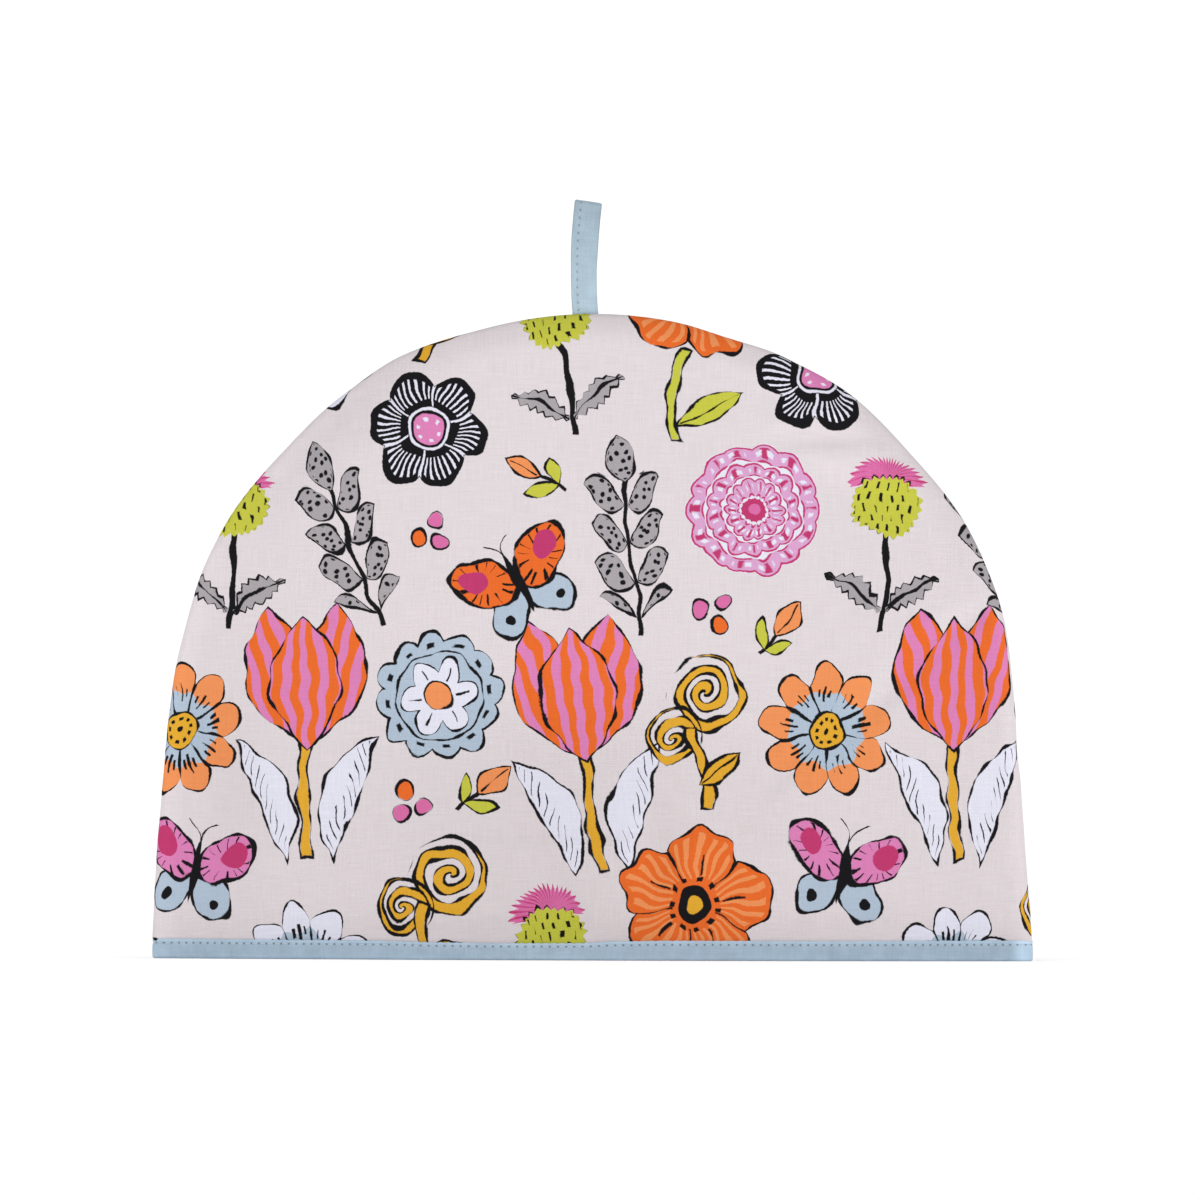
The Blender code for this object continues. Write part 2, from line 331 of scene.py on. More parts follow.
def seam_place(x, z):
    """Place along the curved seam, measured from the top of the dome: the angle times
    the radius on the dome, and the drop added below it."""
    drop = np.maximum(SKIRT_HEIGHT - z, 0.0)
    return DOME_RADIUS * dome_angle(x, z) + np.sign(x) * drop


def pucker_height(x, z, from_seam):
    """Small puckers across the seam and up from the binding, each a sum of sines
    that dies away with the distance from what gathers the cloth."""
    by_seam = np.zeros_like(x)
    by_hem = np.zeros_like(x)
    along = seam_place(x, z)
    for wave in PUCKERS:
        rate, phase = 2 * math.pi / wave["length"], wave["phase"]
        at_hem = rate * x * HEM_PUCKER_RATE + HEM_PUCKER_PHASE * phase
        by_seam += wave["height"] * np.sin(rate * along + phase)
        by_hem += wave["height"] * np.sin(at_hem)
    near_seam = hump(*SEAM_PUCKERS, from_seam)
    near_hem = hump(*HEM_PUCKERS, z - BINDING_HEIGHT)
    return by_seam * near_seam + by_hem * near_hem


def dome_grid(across, up, extra):
    """Places (x, z) of a square grid carried on to the panel laid flat, its outline
    grown by extra: the elliptical map of a square to a half disc, stretched to the
    outline."""
    u = np.sin(across * math.pi / 2)
    v = (1 - np.cos(up * math.pi)) / 2
    disc_x = u * np.sqrt(1 - v * v / 2)
    disc_z = v * np.sqrt(1 - u * u / 2)
    radius = MID_DOME_RADIUS + extra
    z = PANEL_BOTTOM + (SKIRT_HEIGHT + radius - PANEL_BOTTOM) * disc_z
    rise = np.maximum(z - SKIRT_HEIGHT, 0.0)
    half = np.where(
        z <= SKIRT_HEIGHT,
        skirt_half_width(z) + extra,
        np.sqrt(np.maximum(radius**2 - rise**2, 0.0)),
    )
    widest = np.sqrt(np.maximum(1 - disc_z**2, 1e-12))
    return np.where(disc_z > 1 - 1e-9, 0.0, disc_x / widest * half), z


def panel_faces(folds):
    """Grid points of the panel's printed face and of its lining, and the printed
    face's place on the flat cloth. The flat cloth runs over a curl of radius r at the
    seam: its angle grows from -back at the seam to a quarter turn, arc over radius.
    Each face is the mid surface moved half the thickness along its normal."""
    across = np.linspace(-1, 1, PANEL_COLUMNS + 1)[None, :]
    up = np.linspace(0, 1, PANEL_ROWS + 1)[:, None]
    across, up = np.broadcast_arrays(across, up)
    full_curl = CURL_RADIUS * (math.pi / 2 + CURL_BACK)
    extra = HALF_PRESSED + full_curl - CURL_RADIUS
    flat_x, flat_z = dome_grid(across, up, extra)

    free = above_binding(flat_z)
    radius = SEAM_ROUNDING + HALF_PRESSED
    radius = radius + (CURL_RADIUS - radius) * free
    back = CURL_BACK * free
    from_seam, out_x, out_z = outline(flat_x, flat_z, extra)
    angle = np.minimum(from_seam / full_curl, 1.0) * (math.pi / 2 + back) - back
    mid_radius = radius - HALF_PRESSED
    inset = HALF_PRESSED + mid_radius * (1 - np.cos(angle))
    inset = inset + np.maximum(from_seam - full_curl, 0.0)
    inset = inset + (CURL_RADIUS - radius) * ramp(0, full_curl, from_seam)
    move = from_seam - (full_curl - CURL_RADIUS) - inset
    x, z = flat_x + out_x * move, flat_z + out_z * move
    z = np.maximum(z, PANEL_BOTTOM)

    step = 0.0005
    slope_x = opening_depth(x + step, z, folds) - opening_depth(x - step, z, folds)
    slope_z = opening_depth(x, z + step, folds) - opening_depth(x, z - step, folds)
    slope_x, slope_z = slope_x / (2 * step), slope_z / (2 * step)
    slope_z = np.where(z <= BINDING_HEIGHT, 0.0, slope_z)
    depth = mid_radius * np.sin(angle) + radius * np.sin(back)
    depth = depth + opening_depth(x, z, folds)
    normal = np.stack(
        [
            out_x * np.cos(angle) - slope_x * np.sin(angle),
            -np.sin(angle),
            out_z * np.cos(angle) * (z > BINDING_HEIGHT) - slope_z * np.sin(angle),
        ],
        axis=-1,
    )
    normal = unit(normal)
    middle = np.stack([x, -depth, z], axis=-1)

    fill = ramp(0.0, SEAM_FILL, from_seam) * free
    half = (PRESSED_THICKNESS + (PANEL_THICKNESS - PRESSED_THICKNESS) * fill) / 2
    gathered = pucker_height(flat_x, flat_z, from_seam) * free**PUCKER_RISE
    printed = middle + normal * (half + gathered)[..., None]
    lining = middle - normal * half[..., None]
    caught = from_seam < 1e-6
    parted = GAP / 2 + loop_parting(x, z)
    printed[..., 1] = np.minimum(printed[..., 1], -parted)
    lining[..., 1] = np.where(caught, -parted, np.minimum(lining[..., 1], -parted))
    # painted light and shade: bands along the panel's edges, and light and shade along
    # the folds
    painted_light = painted_edge_light(flat_x, flat_z, from_seam) + painted_fold_light(flat_x, flat_z, folds)
    return set_seam(printed), set_seam(lining), flat_x, flat_z, painted_light


def set_seam(points):
    """Points of a panel moved with its seam: out along the radius, or sideways on the
    skirt, by the seam's own move, times the square of how near the seam they are and a
    ramp up from the floor."""
    x, y, z = np.moveaxis(points, -1, 0)
    rise = np.maximum(z - SKIRT_HEIGHT, 0.0)
    radius = np.maximum(np.hypot(x, rise), 1e-9)
    near = (radius / MID_DOME_RADIUS) ** 2 * ramp(*SEAM_SET_HEIGHTS, z)
    move = between(SEAM_SET, "along", "out", seam_place(x, z)) * near
    return np.stack([x + move * x / radius, y, z + move * rise / radius], axis=-1)


def painted_fold_light(x, z, folds):
    """How much painted light and shade the folds put on the cloth's colour: the sum over
    the folds times two ramps, in from the seam and up from the hem."""
    held = ramp(0.0, SEAM_FILL / 2, outline(x, z, 0.0)[0]) * above_binding(z)
    return fold_sum(x, z, folds, "light") * held


def painted_edge_light(x, z, from_seam):
    """Painted light and shade near the panel's edges, as a factor on the cloth's colour:
    1, less the painted dark bands over the top and low in the middle, plus the painted
    light ones along the sides. A band is its strength times a fade or exp(-distance /
    reach)."""
    turn = dome_angle(x, z)
    rate = np.where(turn < 0, TOP_FADE_LEFT, TOP_FADE_RIGHT)
    top = np.cos(np.minimum(rate * np.abs(turn), math.pi / 2))
    band = TOP_BAND * fade(*TOP_BAND_RANGE, from_seam)
    band = band + TOP_LINE * fade(*TOP_LINE_RANGE, from_seam)
    patch = PATCH * fade(*PATCH_RANGE, from_seam)
    patch = patch * np.exp(-((turn - PATCH_ANGLE) ** 2) * PATCH_TIGHTNESS)
    left = LEFT_BAND * fade(*LEFT_BAND_RANGE, from_seam)
    left = left + LEFT_EDGE * np.exp(-from_seam / LEFT_EDGE_REACH)
    right = RIGHT_BAND * fade(*RIGHT_BAND_RANGE, from_seam)
    right = right + RIGHT_EDGE * np.exp(-from_seam / RIGHT_EDGE_REACH)
    side = ramp(*SIDE_ANGLES, np.abs(turn)) * np.where(turn < 0, left, right)
    hem = np.exp(-np.maximum(z - BINDING_HEIGHT, 0.0) / HEM_SHADE_REACH)
    low = np.exp(-(((x - LOW_SHADE_MIDDLE) / LOW_SHADE_HALF_WIDTH) ** 2))
    low = low * fade(*LOW_SHADE_HEIGHTS, z)
    return 1 - band * top - patch + side - HEM_SHADE * hem - LOW_SHADE * low


def loop_parting(x, z):
    """How far each panel's edge stands aside for the hanging loop's legs: its full size
    at the loop, times a fade to both sides."""
    near = fade(*LOOP_PARTING_RANGE, np.abs(x - LOOP_MIDDLE))
    return LOOP_PARTING * near * (z > LOOP_PARTING_LOWEST)


def cloth_place(flat_x, flat_z):
    """(across, up) on the cloth before the cosy was opened: the flat place, with the
    lens's extra length 2/3 (A/W)^2 (x/W)^2 x added across and its slope added up."""
    bow = OPENING * (1 - CLOSING * np.minimum(flat_z / PANEL_TOP, 1.0))
    share = flat_x / MID_HEM_HALF_WIDTH
    longer = 2 / 3 * (bow / MID_HEM_HALF_WIDTH) ** 2 * share**2
    return flat_x * (1 + longer), flat_z * CLOTH_RISE


# ---------------------------------------------------------------- making meshes
def put_in_scene(name, data):
    """A new object at the origin, linked to the scene."""
    thing = bpy.data.objects.new(name, data)
    bpy.context.scene.collection.objects.link(thing)
    return thing


def new_mesh(name, points, faces, materials):
    """A smooth piece at the origin, from an array of points and an array of
    four-cornered faces, which rides on the cosy's one body."""
    mesh = bpy.data.meshes.new(name)
    mesh.vertices.add(len(points))
    mesh.vertices.foreach_set("co", np.asarray(points, np.float32).ravel())
    faces = np.asarray(faces, np.int32)
    mesh.loops.add(faces.size)
    mesh.loops.foreach_set("vertex_index", faces.ravel())
    mesh.polygons.add(len(faces))
    mesh.polygons.foreach_set("loop_start", np.arange(len(faces), dtype=np.int32) * 4)
    mesh.polygons.foreach_set("use_smooth", np.ones(len(faces), bool))
    mesh.update(calc_edges=True)
    for material in materials:
        mesh.materials.append(material)
    piece = put_in_scene(name, mesh)
    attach(piece, "root")
    return piece


def add_map(piece, name, places):
    """A UV map with one place for each corner of each face."""
    layer = piece.data.uv_layers.new(name=name, do_init=False)
    layer.uv.foreach_set("vector", np.asarray(places, np.float32).ravel())


def add_painted_light(piece, values):
    """The painted light and shade at each point of the piece: a factor on its cloth's
    colour.
    """
    layer = piece.data.attributes.new("painted_light", "FLOAT", "POINT")
    layer.data.foreach_set("value", np.asarray(values, np.float32).ravel())


def grid_faces(rows, columns, offset=0, closed_rows=False, closed_columns=False):
    """Corner numbers of the faces of a grid of points, row after row."""
    row = np.arange(rows if closed_rows else rows - 1)
    column = np.arange(columns if closed_columns else columns - 1)
    row, column = np.meshgrid(row, column, indexing="ij")
    next_row, next_column = (row + 1) % rows, (column + 1) % columns
    corners = [
        row * columns + column,
        row * columns + next_column,
        next_row * columns + next_column,
        next_row * columns + column,
    ]
    return np.stack(corners, axis=-1).reshape(-1, 4) + offset


def past_join(number, count):
    """Row or column numbers of faces' corners, for a map: where a face closes a ring,
    0 becomes the count."""
    closes = number.max(1, keepdims=True) > 1
    return np.where((number == 0) & closes, count, number)


def rim_faces(rows, columns):
    """Faces that join the edge of one grid to the edge of the next one, in order
    round the grid."""
    bottom = np.arange(columns)
    right = np.arange(1, rows) * columns + columns - 1
    top = (rows - 1) * columns + np.arange(columns - 2, -1, -1)
    left = np.arange(rows - 2, 0, -1) * columns
    ring = np.concatenate([bottom, right, top, left])
    ahead = np.roll(ring, -1)
    shift = rows * columns
    return np.stack([ring, ring + shift, ahead + shift, ahead], axis=-1)


def add_panel(name, node, folds, facing, print_shift, materials):
    """A panel: printed face, lining and the edge that joins them, as one closed mesh.
    facing is 1 for the front and -1 for the back, where the places are mirrored."""
    printed, lining, flat_x, flat_z, painted_light = panel_faces(folds)
    rows, columns = flat_x.shape
    points = np.concatenate([printed.reshape(-1, 3), lining.reshape(-1, 3)])
    points[:, 1] *= facing
    outer = grid_faces(rows, columns)
    inner = grid_faces(rows, columns, rows * columns)[:, ::-1]
    faces = np.concatenate([outer, inner, rim_faces(rows, columns)])
    if facing < 0:
        faces = faces[:, ::-1]
    panel = new_mesh(name, points, faces, materials)
    add_painted_light(panel, np.tile(painted_light.ravel(), 2))
    slots = np.zeros(len(faces), np.int32)
    slots[len(outer) : len(outer) + len(inner)] = 1
    panel.data.polygons.foreach_set("material_index", slots)

    across, up = cloth_place(flat_x, flat_z)
    cloth = np.stack([across.ravel() * facing, up.ravel()], axis=-1)
    cloth = np.concatenate([cloth, cloth + LINING_SHIFT]) + print_shift
    add_map(panel, "cloth", cloth[faces])
    wide = 2 * (MID_HEM_HALF_WIDTH + BAKE_MARGIN)
    sheet = np.stack([flat_x.ravel() / wide + 0.5, flat_z.ravel() / wide], axis=-1)
    spare = sheet * LINING_BAKE_SIZE + LINING_BAKE_CORNER
    add_map(panel, "OFBake", np.concatenate([sheet, spare])[faces])
    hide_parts(node)


def directions(points, closed):
    """Unit direction at each point of a line, from the points on either side."""
    if closed:
        return unit(np.roll(points, -1, axis=0) - np.roll(points, 1, axis=0))
    return unit(np.gradient(points, axis=0))


def line_length(points):
    """Length along a line up to each of its points."""
    steps = np.linalg.norm(np.diff(points, axis=0), axis=1)
    return np.concatenate([[0.0], np.cumsum(steps)])


def points_along(line, measure, wanted):
    """A line's points at the wanted measures along it, on the straight between its
    own points."""
    found = [np.interp(wanted, measure, line[:, axis]) for axis in range(2)]
    return np.stack(found, axis=-1)


def even_line(points, count):
    """A closed line's points moved to equal steps along it, and its length."""
    ring = np.concatenate([points, points[:1]])
    measure = line_length(ring)
    wanted = np.linspace(0, measure[-1], count, endpoint=False)
    return points_along(ring, measure, wanted), measure[-1]


def arc(across, up, radius, start, end, steps):
    """Points of an arc round (across, up) without its two ends: the middle plus the
    radius times (cos, sin)."""
    turn = np.linspace(start, end, steps + 1)[1:-1]
    return np.stack([across + radius * np.cos(turn), up + radius * np.sin(turn)], axis=-1)


# ---------------------------------------------------------------- the bound hem
HEM_STEPS = 1140
HEM_PROFILE_STEPS = 1200
BINDING_FOOT = 0.0009  # radius of the fold's edges on the floor
BINDING_LEG_POINTS = 15
BINDING_INSIDE_POINTS = 6
FOOT_STEPS = 5
EDGE_STEPS = 8  # round the edge of the binding and of the loop
STITCH_DROP = 0.0017  # the stitch line's distance below the binding's top edge
STITCH_PITCH = 0.0032
STITCH_LINE = BINDING_HEIGHT - STITCH_DROP
STITCH_SINK = 0.00022  # how deep a thread lies in the binding's face
BINDING_THREAD_HALF_LENGTH = 0.00128
BINDING_THREAD_RADIUS = 0.00024

# The binding's faces puff out between the stitch line and the floor, as sin^0.8, more
# and less in slow waves measured in stitches, and are drawn in at the two ends
BINDING_PUFF = 0.00028
PUFF_POWER = 0.8
PUFF_WAVE_COLUMNS = ("stitches", "share", "phase")
PUFF_WAVES = named(PUFF_WAVE_COLUMNS, (23, 0.25, 1.0), (9.3, 0.25, 0.0))
PUFF_END, PUFF_END_LOSS = 0.006, 1.6
# The groove that the stitches pull, deeper at each hole, and the edge's small scallops
GROOVE_HALF_WIDTH = 0.0006
GROOVE_DEPTH, GROOVE_HOLE_DEPTH = 0.00016, 0.00026
SCALLOP, SCALLOP_FROM = 0.00010, 0.0070
# Painted light on the binding: at its ends, a painted highlight on its rolled top edge,
# and by the floor
LEFT_END_PAINTED_LIGHT, LEFT_END_REACH = 0.34, 0.0045
RIGHT_END_PAINTED_LIGHT, RIGHT_END_RANGE = 0.52, (0.004, 0.010)
ROLLED_PAINTED_LIGHT, ROLLED_RANGE = 0.20, (STITCH_LINE + 0.0002, STITCH_LINE + 0.0007)
FOOT_PAINTED_LIGHT, FOOT_RANGE = 0.09, (0.0004, 0.0034)
# How far the binding's top edge dips below its full height, by the place across
BINDING_DIP_COLUMNS = ("x", "dip")
BINDING_DIP = named(
    BINDING_DIP_COLUMNS,
    (-0.175, 0.0005),
    (-0.085, 0.0008),
    (-0.060, 0.0014),
    (-0.036, 0.0016),
    (-0.006, 0.0015),
    (0.011, 0.0007),
    (0.030, 0.0004),
    (0.083, 0.0004),
    (0.175, 0.0001),
)


def hem_path():
    """The middle of the hem's thickness in plan, as (x, y) at equal steps, and its
    length: the front edge from left to right, then the back edge."""
    across = np.sin(np.linspace(-1, 1, HEM_PROFILE_STEPS + 1) * math.pi / 2)
    x = across * MID_HEM_HALF_WIDTH
    z = np.full_like(x, BINDING_HEIGHT)
    turn = 1 - np.minimum(1.0, (MID_HEM_HALF_WIDTH - np.abs(x)) / SEAM_ROUNDING)
    depth = SEAM_ROUNDING * np.sqrt(1 - turn**2) + opening_depth(x, z, ())
    front = np.stack([x, -depth], axis=-1)
    back = (front * (1, -1))[-2:0:-1]
    return even_line(np.concatenate([front, back]), HEM_STEPS)


def binding_section():
    """The binding's section as (outward, up, side): a strip folded to a U, its outer
    leg, the fold on the floor and its inner leg, with rounded edges. side is 1 on the
    outer leg's face, -1 on the inner leg's face and 0 elsewhere."""
    inner = BINDING_REACH - BINDING_THICKNESS
    edge, foot = BINDING_THICKNESS / 2, BINDING_FOOT
    top = BINDING_HEIGHT - edge
    sole = np.array([[foot, 0.0], [BINDING_REACH - foot, 0.0]])
    heel = arc(BINDING_REACH - foot, foot, foot, -math.pi / 2, 0, FOOT_STEPS)
    rise = np.linspace(foot, top, BINDING_LEG_POINTS)
    leg = np.stack([np.full_like(rise, BINDING_REACH), rise], axis=-1)
    roll = arc(inner + edge, top, edge, 0, math.pi, EDGE_STEPS)
    down = np.linspace(top, BINDING_THICKNESS, BINDING_INSIDE_POINTS)
    inside = np.stack([np.full_like(down, inner), down], axis=-1)
    counts = [len(sole) + len(heel), len(leg), len(roll) + len(inside)]
    side = np.repeat([0.0, 1.0, 0.0], counts)
    half = np.column_stack([np.concatenate([sole, heel, leg, roll, inside]), side])
    return np.concatenate([half, half[::-1] * (-1, 1, -1)])


def lowered(up, x):
    """A height on the binding, less in the share by which its top edge dips there."""
    return up * (1 - between(BINDING_DIP, "x", "dip", x) / BINDING_HEIGHT)


def binding_stitch_lines():
    """Where the stitch row lies round the section, outside and inside, and its pitch,
    all in millimetres on the binding's cloth."""
    length = hem_path()[1]
    section = binding_section()
    girth = line_length(section[:, :2])
    found = []
    for side in (1, -1):
        face = section[:, 2] == side
        order = np.argsort(section[face, 1])
        place = np.interp(STITCH_LINE, section[face, 1][order], girth[face][order])
        found.append(place * MILLIMETRES)
    pitch = length / round(length / STITCH_PITCH)
    return found[0], found[1], MILLIMETRES * pitch


def add_binding(material):
    """The binding: its section carried round the hem, and its faces pushed out by the
    puff less the groove, which is a bell exp(-d^2) deepened by (1/2 + 1/2 cos)^4 at
    each needle hole."""
    path, length = hem_path()
    ahead = directions(path, True)
    outward = np.stack([ahead[:, 1], -ahead[:, 0]], axis=-1)
    section = binding_section()
    along = np.arange(HEM_STEPS) * length / HEM_STEPS
    count = round(length / STITCH_PITCH)
    stitch = 2 * math.pi * along / length * count
    out, up, side = section[:, 0], section[:, 1], section[:, 2]

    puff = BINDING_PUFF * np.sin(math.pi * np.clip(up / STITCH_LINE, 0, 1)) ** PUFF_POWER
    slow = 1
    for wave in PUFF_WAVES:
        slow = slow + wave["share"] * np.sin(stitch / wave["stitches"] + wave["phase"])
    end = ramp(HEM_WIDTH / 2 - PUFF_END, HEM_WIDTH / 2, np.abs(path[:, 0]))
    slow = (1 - PUFF_END_LOSS * end) * slow
    hole = (0.5 + 0.5 * np.cos(stitch[:, None])) ** 4
    groove = np.exp(-(((up - STITCH_LINE) / GROOVE_HALF_WIDTH) ** 2))
    groove = groove * (GROOVE_DEPTH + GROOVE_HOLE_DEPTH * hole)
    reach = out + side * (puff * slow[:, None] - groove)
    lift = SCALLOP * np.cos(stitch + math.pi)[:, None]
    lift = lift * ramp(SCALLOP_FROM, BINDING_HEIGHT, up)
    x = path[:, :1] + outward[:, :1] * reach
    y = path[:, 1:] + outward[:, 1:] * reach
    points = np.stack([x, y, lowered(up, x) + lift], axis=-1)
    rows, columns = reach.shape
    faces = grid_faces(rows, columns, closed_rows=True, closed_columns=True)
    binding = new_mesh("binding_strip", points.reshape(-1, 3), faces, [material])

    # painted light at the binding's ends, on its rolled top edge and by the floor
    inward = HEM_WIDTH / 2 - np.abs(x)
    left = LEFT_END_PAINTED_LIGHT * np.exp(-inward / LEFT_END_REACH)
    right = RIGHT_END_PAINTED_LIGHT * fade(*RIGHT_END_RANGE, inward)
    rolled = ROLLED_PAINTED_LIGHT * ramp(*ROLLED_RANGE, up) * (side >= 0)
    foot = FOOT_PAINTED_LIGHT * fade(*FOOT_RANGE, up)
    add_painted_light(binding, 1 + rolled + foot + np.where(x < 0, left, right))
    girth = line_length(np.concatenate([section[:, :2], section[:1, :2]]))
    row, column = np.divmod(faces, columns)
    row, column = past_join(row, rows), past_join(column, columns)
    cloth = np.stack([row * length / rows, girth[column]], axis=-1)
    add_map(binding, "cloth", cloth)
    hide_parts("hem_binding")
    return binding, path, outward, length, count


THREAD_RINGS = 5
THREAD_SIDES = 6
THREAD_FLATNESS = 0.7  # its height over its width


def capsules(middle, ahead, outward, half_length, radius):
    """The points of one short thread for each stitch, and the faces and the caps'
    triangles of the first: circles across the stitch's line, whose radius shrinks
    towards both ends as sqrt(1 - s^2), flattened along outward, and a tip at each end."""
    rings, sides = THREAD_RINGS, THREAD_SIDES
    turn = np.linspace(0, 2 * math.pi, sides, endpoint=False)
    place = np.sin(np.linspace(-1, 1, rings + 2) * math.pi / 2)[1:-1, None, None]
    size = radius * np.sqrt(1 - place**2)
    across = size * np.cos(turn)[:, None]
    out = size * np.sin(turn)[:, None] * THREAD_FLATNESS
    side = np.cross(ahead, outward)
    ahead, side, outward = (v[:, None, None] for v in (ahead, side, outward))
    ring = ahead * (place * half_length) + side * across + outward * out
    ring = (ring + middle[:, None, None]).reshape(len(middle), -1, 3)
    tips = middle[:, None] + ahead[:, 0] * np.array([[-1], [1]]) * half_length
    points = np.concatenate([ring, tips], axis=1)

    here = np.arange(sides)
    following = np.roll(here, -1)
    tip, last = np.full(sides, rings * sides), (rings - 1) * sides
    low = np.stack([tip, following, here], axis=-1)
    high = np.stack([tip + 1, last + here, last + following], axis=-1)
    faces = grid_faces(rings, sides, closed_columns=True)
    return points, faces, np.concatenate([low, high])


def add_threads(name, middle, ahead, outward, half_length, radius, material):
    """One joined mesh of short threads: the first one's faces, moved on by a thread's
    number of points for each of the others."""
    points, faces, caps = capsules(middle, ahead, outward, half_length, radius)
    start = (np.arange(len(points)) * points.shape[1])[:, None, None]
    quads = (faces + start).reshape(-1, 4)
    tris = (caps + start).reshape(-1, 3)
    mesh = bpy.data.meshes.new(name)
    mesh.from_pydata(points.reshape(-1, 3).tolist(), [], quads.tolist() + tris.tolist())
    mesh.shade_smooth()
    mesh.materials.append(material)
    threads = put_in_scene(name, mesh)
    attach(threads, "root")
    return threads


def add_binding_stitches(path, outward, count, material):
    """A stitch between each two needle holes, on the outer and the inner face."""
    place = (np.arange(count) + 0.5) / count * len(path)
    index = np.arange(len(path) + 1)
    ring = np.concatenate([path, path[:1]])
    away = np.concatenate([outward, outward[:1]])
    xy = points_along(ring, index, place)
    out = unit(points_along(away, index, place))
    flat = np.zeros((count, 1))
    out = np.concatenate([out, flat], axis=1)
    ahead = np.stack([-out[:, 1], out[:, 0], flat[:, 0]], axis=-1)
    base = np.concatenate([xy, flat + STITCH_LINE], axis=1)
    reach = BINDING_REACH - STITCH_SINK
    middle = np.concatenate([base + out * reach, base - out * reach])
    middle[:, 2] = lowered(middle[:, 2], middle[:, 0])
    return add_threads(
        "binding_stitches",
        middle,
        np.concatenate([ahead, ahead]),
        np.concatenate([out, -out]),
        BINDING_THREAD_HALF_LENGTH,
        BINDING_THREAD_RADIUS,
        material,
    )


# ---------------------------------------------------------------- the hanging loop
LOOP_ROOT = PANEL_TOP - 0.0027
LOOP_LEG_GAP = 0.0001  # from the seam's plane to a leg's inner face at its root
LOOP_FOLD_RADIUS = 0.0020
LOOP_STEPS = 260
LOOP_LEG_STEPS = 80
LOOP_FOLD_STEPS = 32
STRIP_COLUMNS = 25
LOOP_LEAN = 0.0011  # how far its top leans right
LOOP_SLANT = 0.145  # how steeply its top edge falls to the right
LOOP_BOW, LOOP_BOW_POWER = 0.0007, 0.75  # how far it bows to the left
LOOP_WAIST = 0.05  # how much narrower the strip is pulled in its lower half
LOOP_WAIST_RANGE = (0.35, 0.62)
LOOP_STITCH_INSET = 0.0026
LOOP_STITCH_PITCH = 0.003
LOOP_STITCH_SINK = 0.0001
LOOP_LOWEST_STITCH = PANEL_TOP + 0.001
LOOP_THREAD_HALF_LENGTH = 0.0011
LOOP_THREAD_RADIUS = 0.00022

LOOP_PUFF = 0.00010
LOOP_FACE_FROM = 0.45  # of its thickness: what lies farther out is a face
LOOP_GROOVE_HALF_WIDTH = 0.0005
LOOP_GROOVE_DEPTH, LOOP_GROOVE_HOLE_DEPTH = 0.00009, 0.00019
# Its painted light and shade, which darkens the colour with the height, at the root and
# towards the edges
LOOP_PAINTED_LIGHT, LOOP_TOP_SHADE = 1.22, 0.36
LOOP_ROOT_SHADE, LOOP_ROOT_SHADE_REACH = 0.20, 0.0014
LOOP_ROOT_SHADE_TOP = PANEL_TOP - 0.0012
LOOP_EDGE_SHADE, LOOP_EDGE_FROM = 0.10, 0.43  # of its width


def loop_line():
    """The folded strip's middle seen from the side, as (y, z) at equal steps: up the
    front leg, which bows out as a power of the sine, over a half circle, and down the
    back leg."""
    top = PANEL_TOP + GAP + LOOP_HEIGHT - LOOP_FOLD_RADIUS - LOOP_THICKNESS / 2
    share = np.linspace(0, 1, LOOP_LEG_STEPS, endpoint=False)
    root = LOOP_THICKNESS / 2 + LOOP_LEG_GAP
    spread = root + (LOOP_FOLD_RADIUS - root) * ramp(0, 1, share)
    bow = LOOP_SLACK * np.sin(math.pi * share) ** LOOP_SLACK_POWER
    rise = LOOP_ROOT + (top - LOOP_ROOT) * share
    front = np.stack([-spread - bow, rise], axis=-1)
    turn = math.pi * (1 - np.linspace(0, 1, LOOP_FOLD_STEPS + 1))
    fold = np.stack([np.cos(turn), np.sin(turn)], axis=-1) * LOOP_FOLD_RADIUS
    fold[:, 1] += top
    back = (front * (-1, 1))[::-1]
    line = np.concatenate([front, fold, back])
    measure = line_length(line)
    wanted = np.linspace(0, measure[-1], LOOP_STEPS)
    return points_along(line, measure, wanted), measure[-1]


def loop_stitch_step():
    """The loop's stitch pitch, which fits its length a whole number of times."""
    length = loop_line()[1]
    return length / round(length / LOOP_STITCH_PITCH)


def strip_section():
    """The strip's section as (across, out): a flat bar with round edges, the outer face
    first."""
    half, edge = LOOP_WIDTH / 2, LOOP_THICKNESS / 2
    across = np.linspace(-half + edge, half - edge, STRIP_COLUMNS)
    outer = np.stack([across, np.full_like(across, edge)], axis=-1)
    right = arc(half - edge, 0.0, edge, math.pi / 2, -math.pi / 2, EDGE_STEPS)
    inner = outer[::-1] * (1, -1)
    left = right[::-1] * (-1, 1)
    return np.concatenate([outer, right, inner, left])


def loop_place(line, across, out):
    """Points of the loop for places along it, across it and out from its middle: the
    line's point moved out along its normal, leaning right by the height cubed and
    slanted down to the right by the height squared."""
    ahead = directions(line, False)
    normal = np.stack([-ahead[:, 1], ahead[:, 0]], axis=-1)
    y = line[:, :1] + normal[:, :1] * out
    rise = line[:, 1:] + normal[:, 1:] * out
    share = np.clip((rise - PANEL_TOP) / LOOP_HEIGHT, 0, None)
    narrow = 1 - LOOP_WAIST * fade(*LOOP_WAIST_RANGE, share)
    bow = LOOP_BOW * np.sin(math.pi * np.minimum(share, 1.0) ** LOOP_BOW_POWER)
    x = LOOP_MIDDLE + LOOP_LEAN * share**3 - bow + across * narrow
    return np.stack([x, y, rise - LOOP_SLANT * across * share**2], axis=-1)


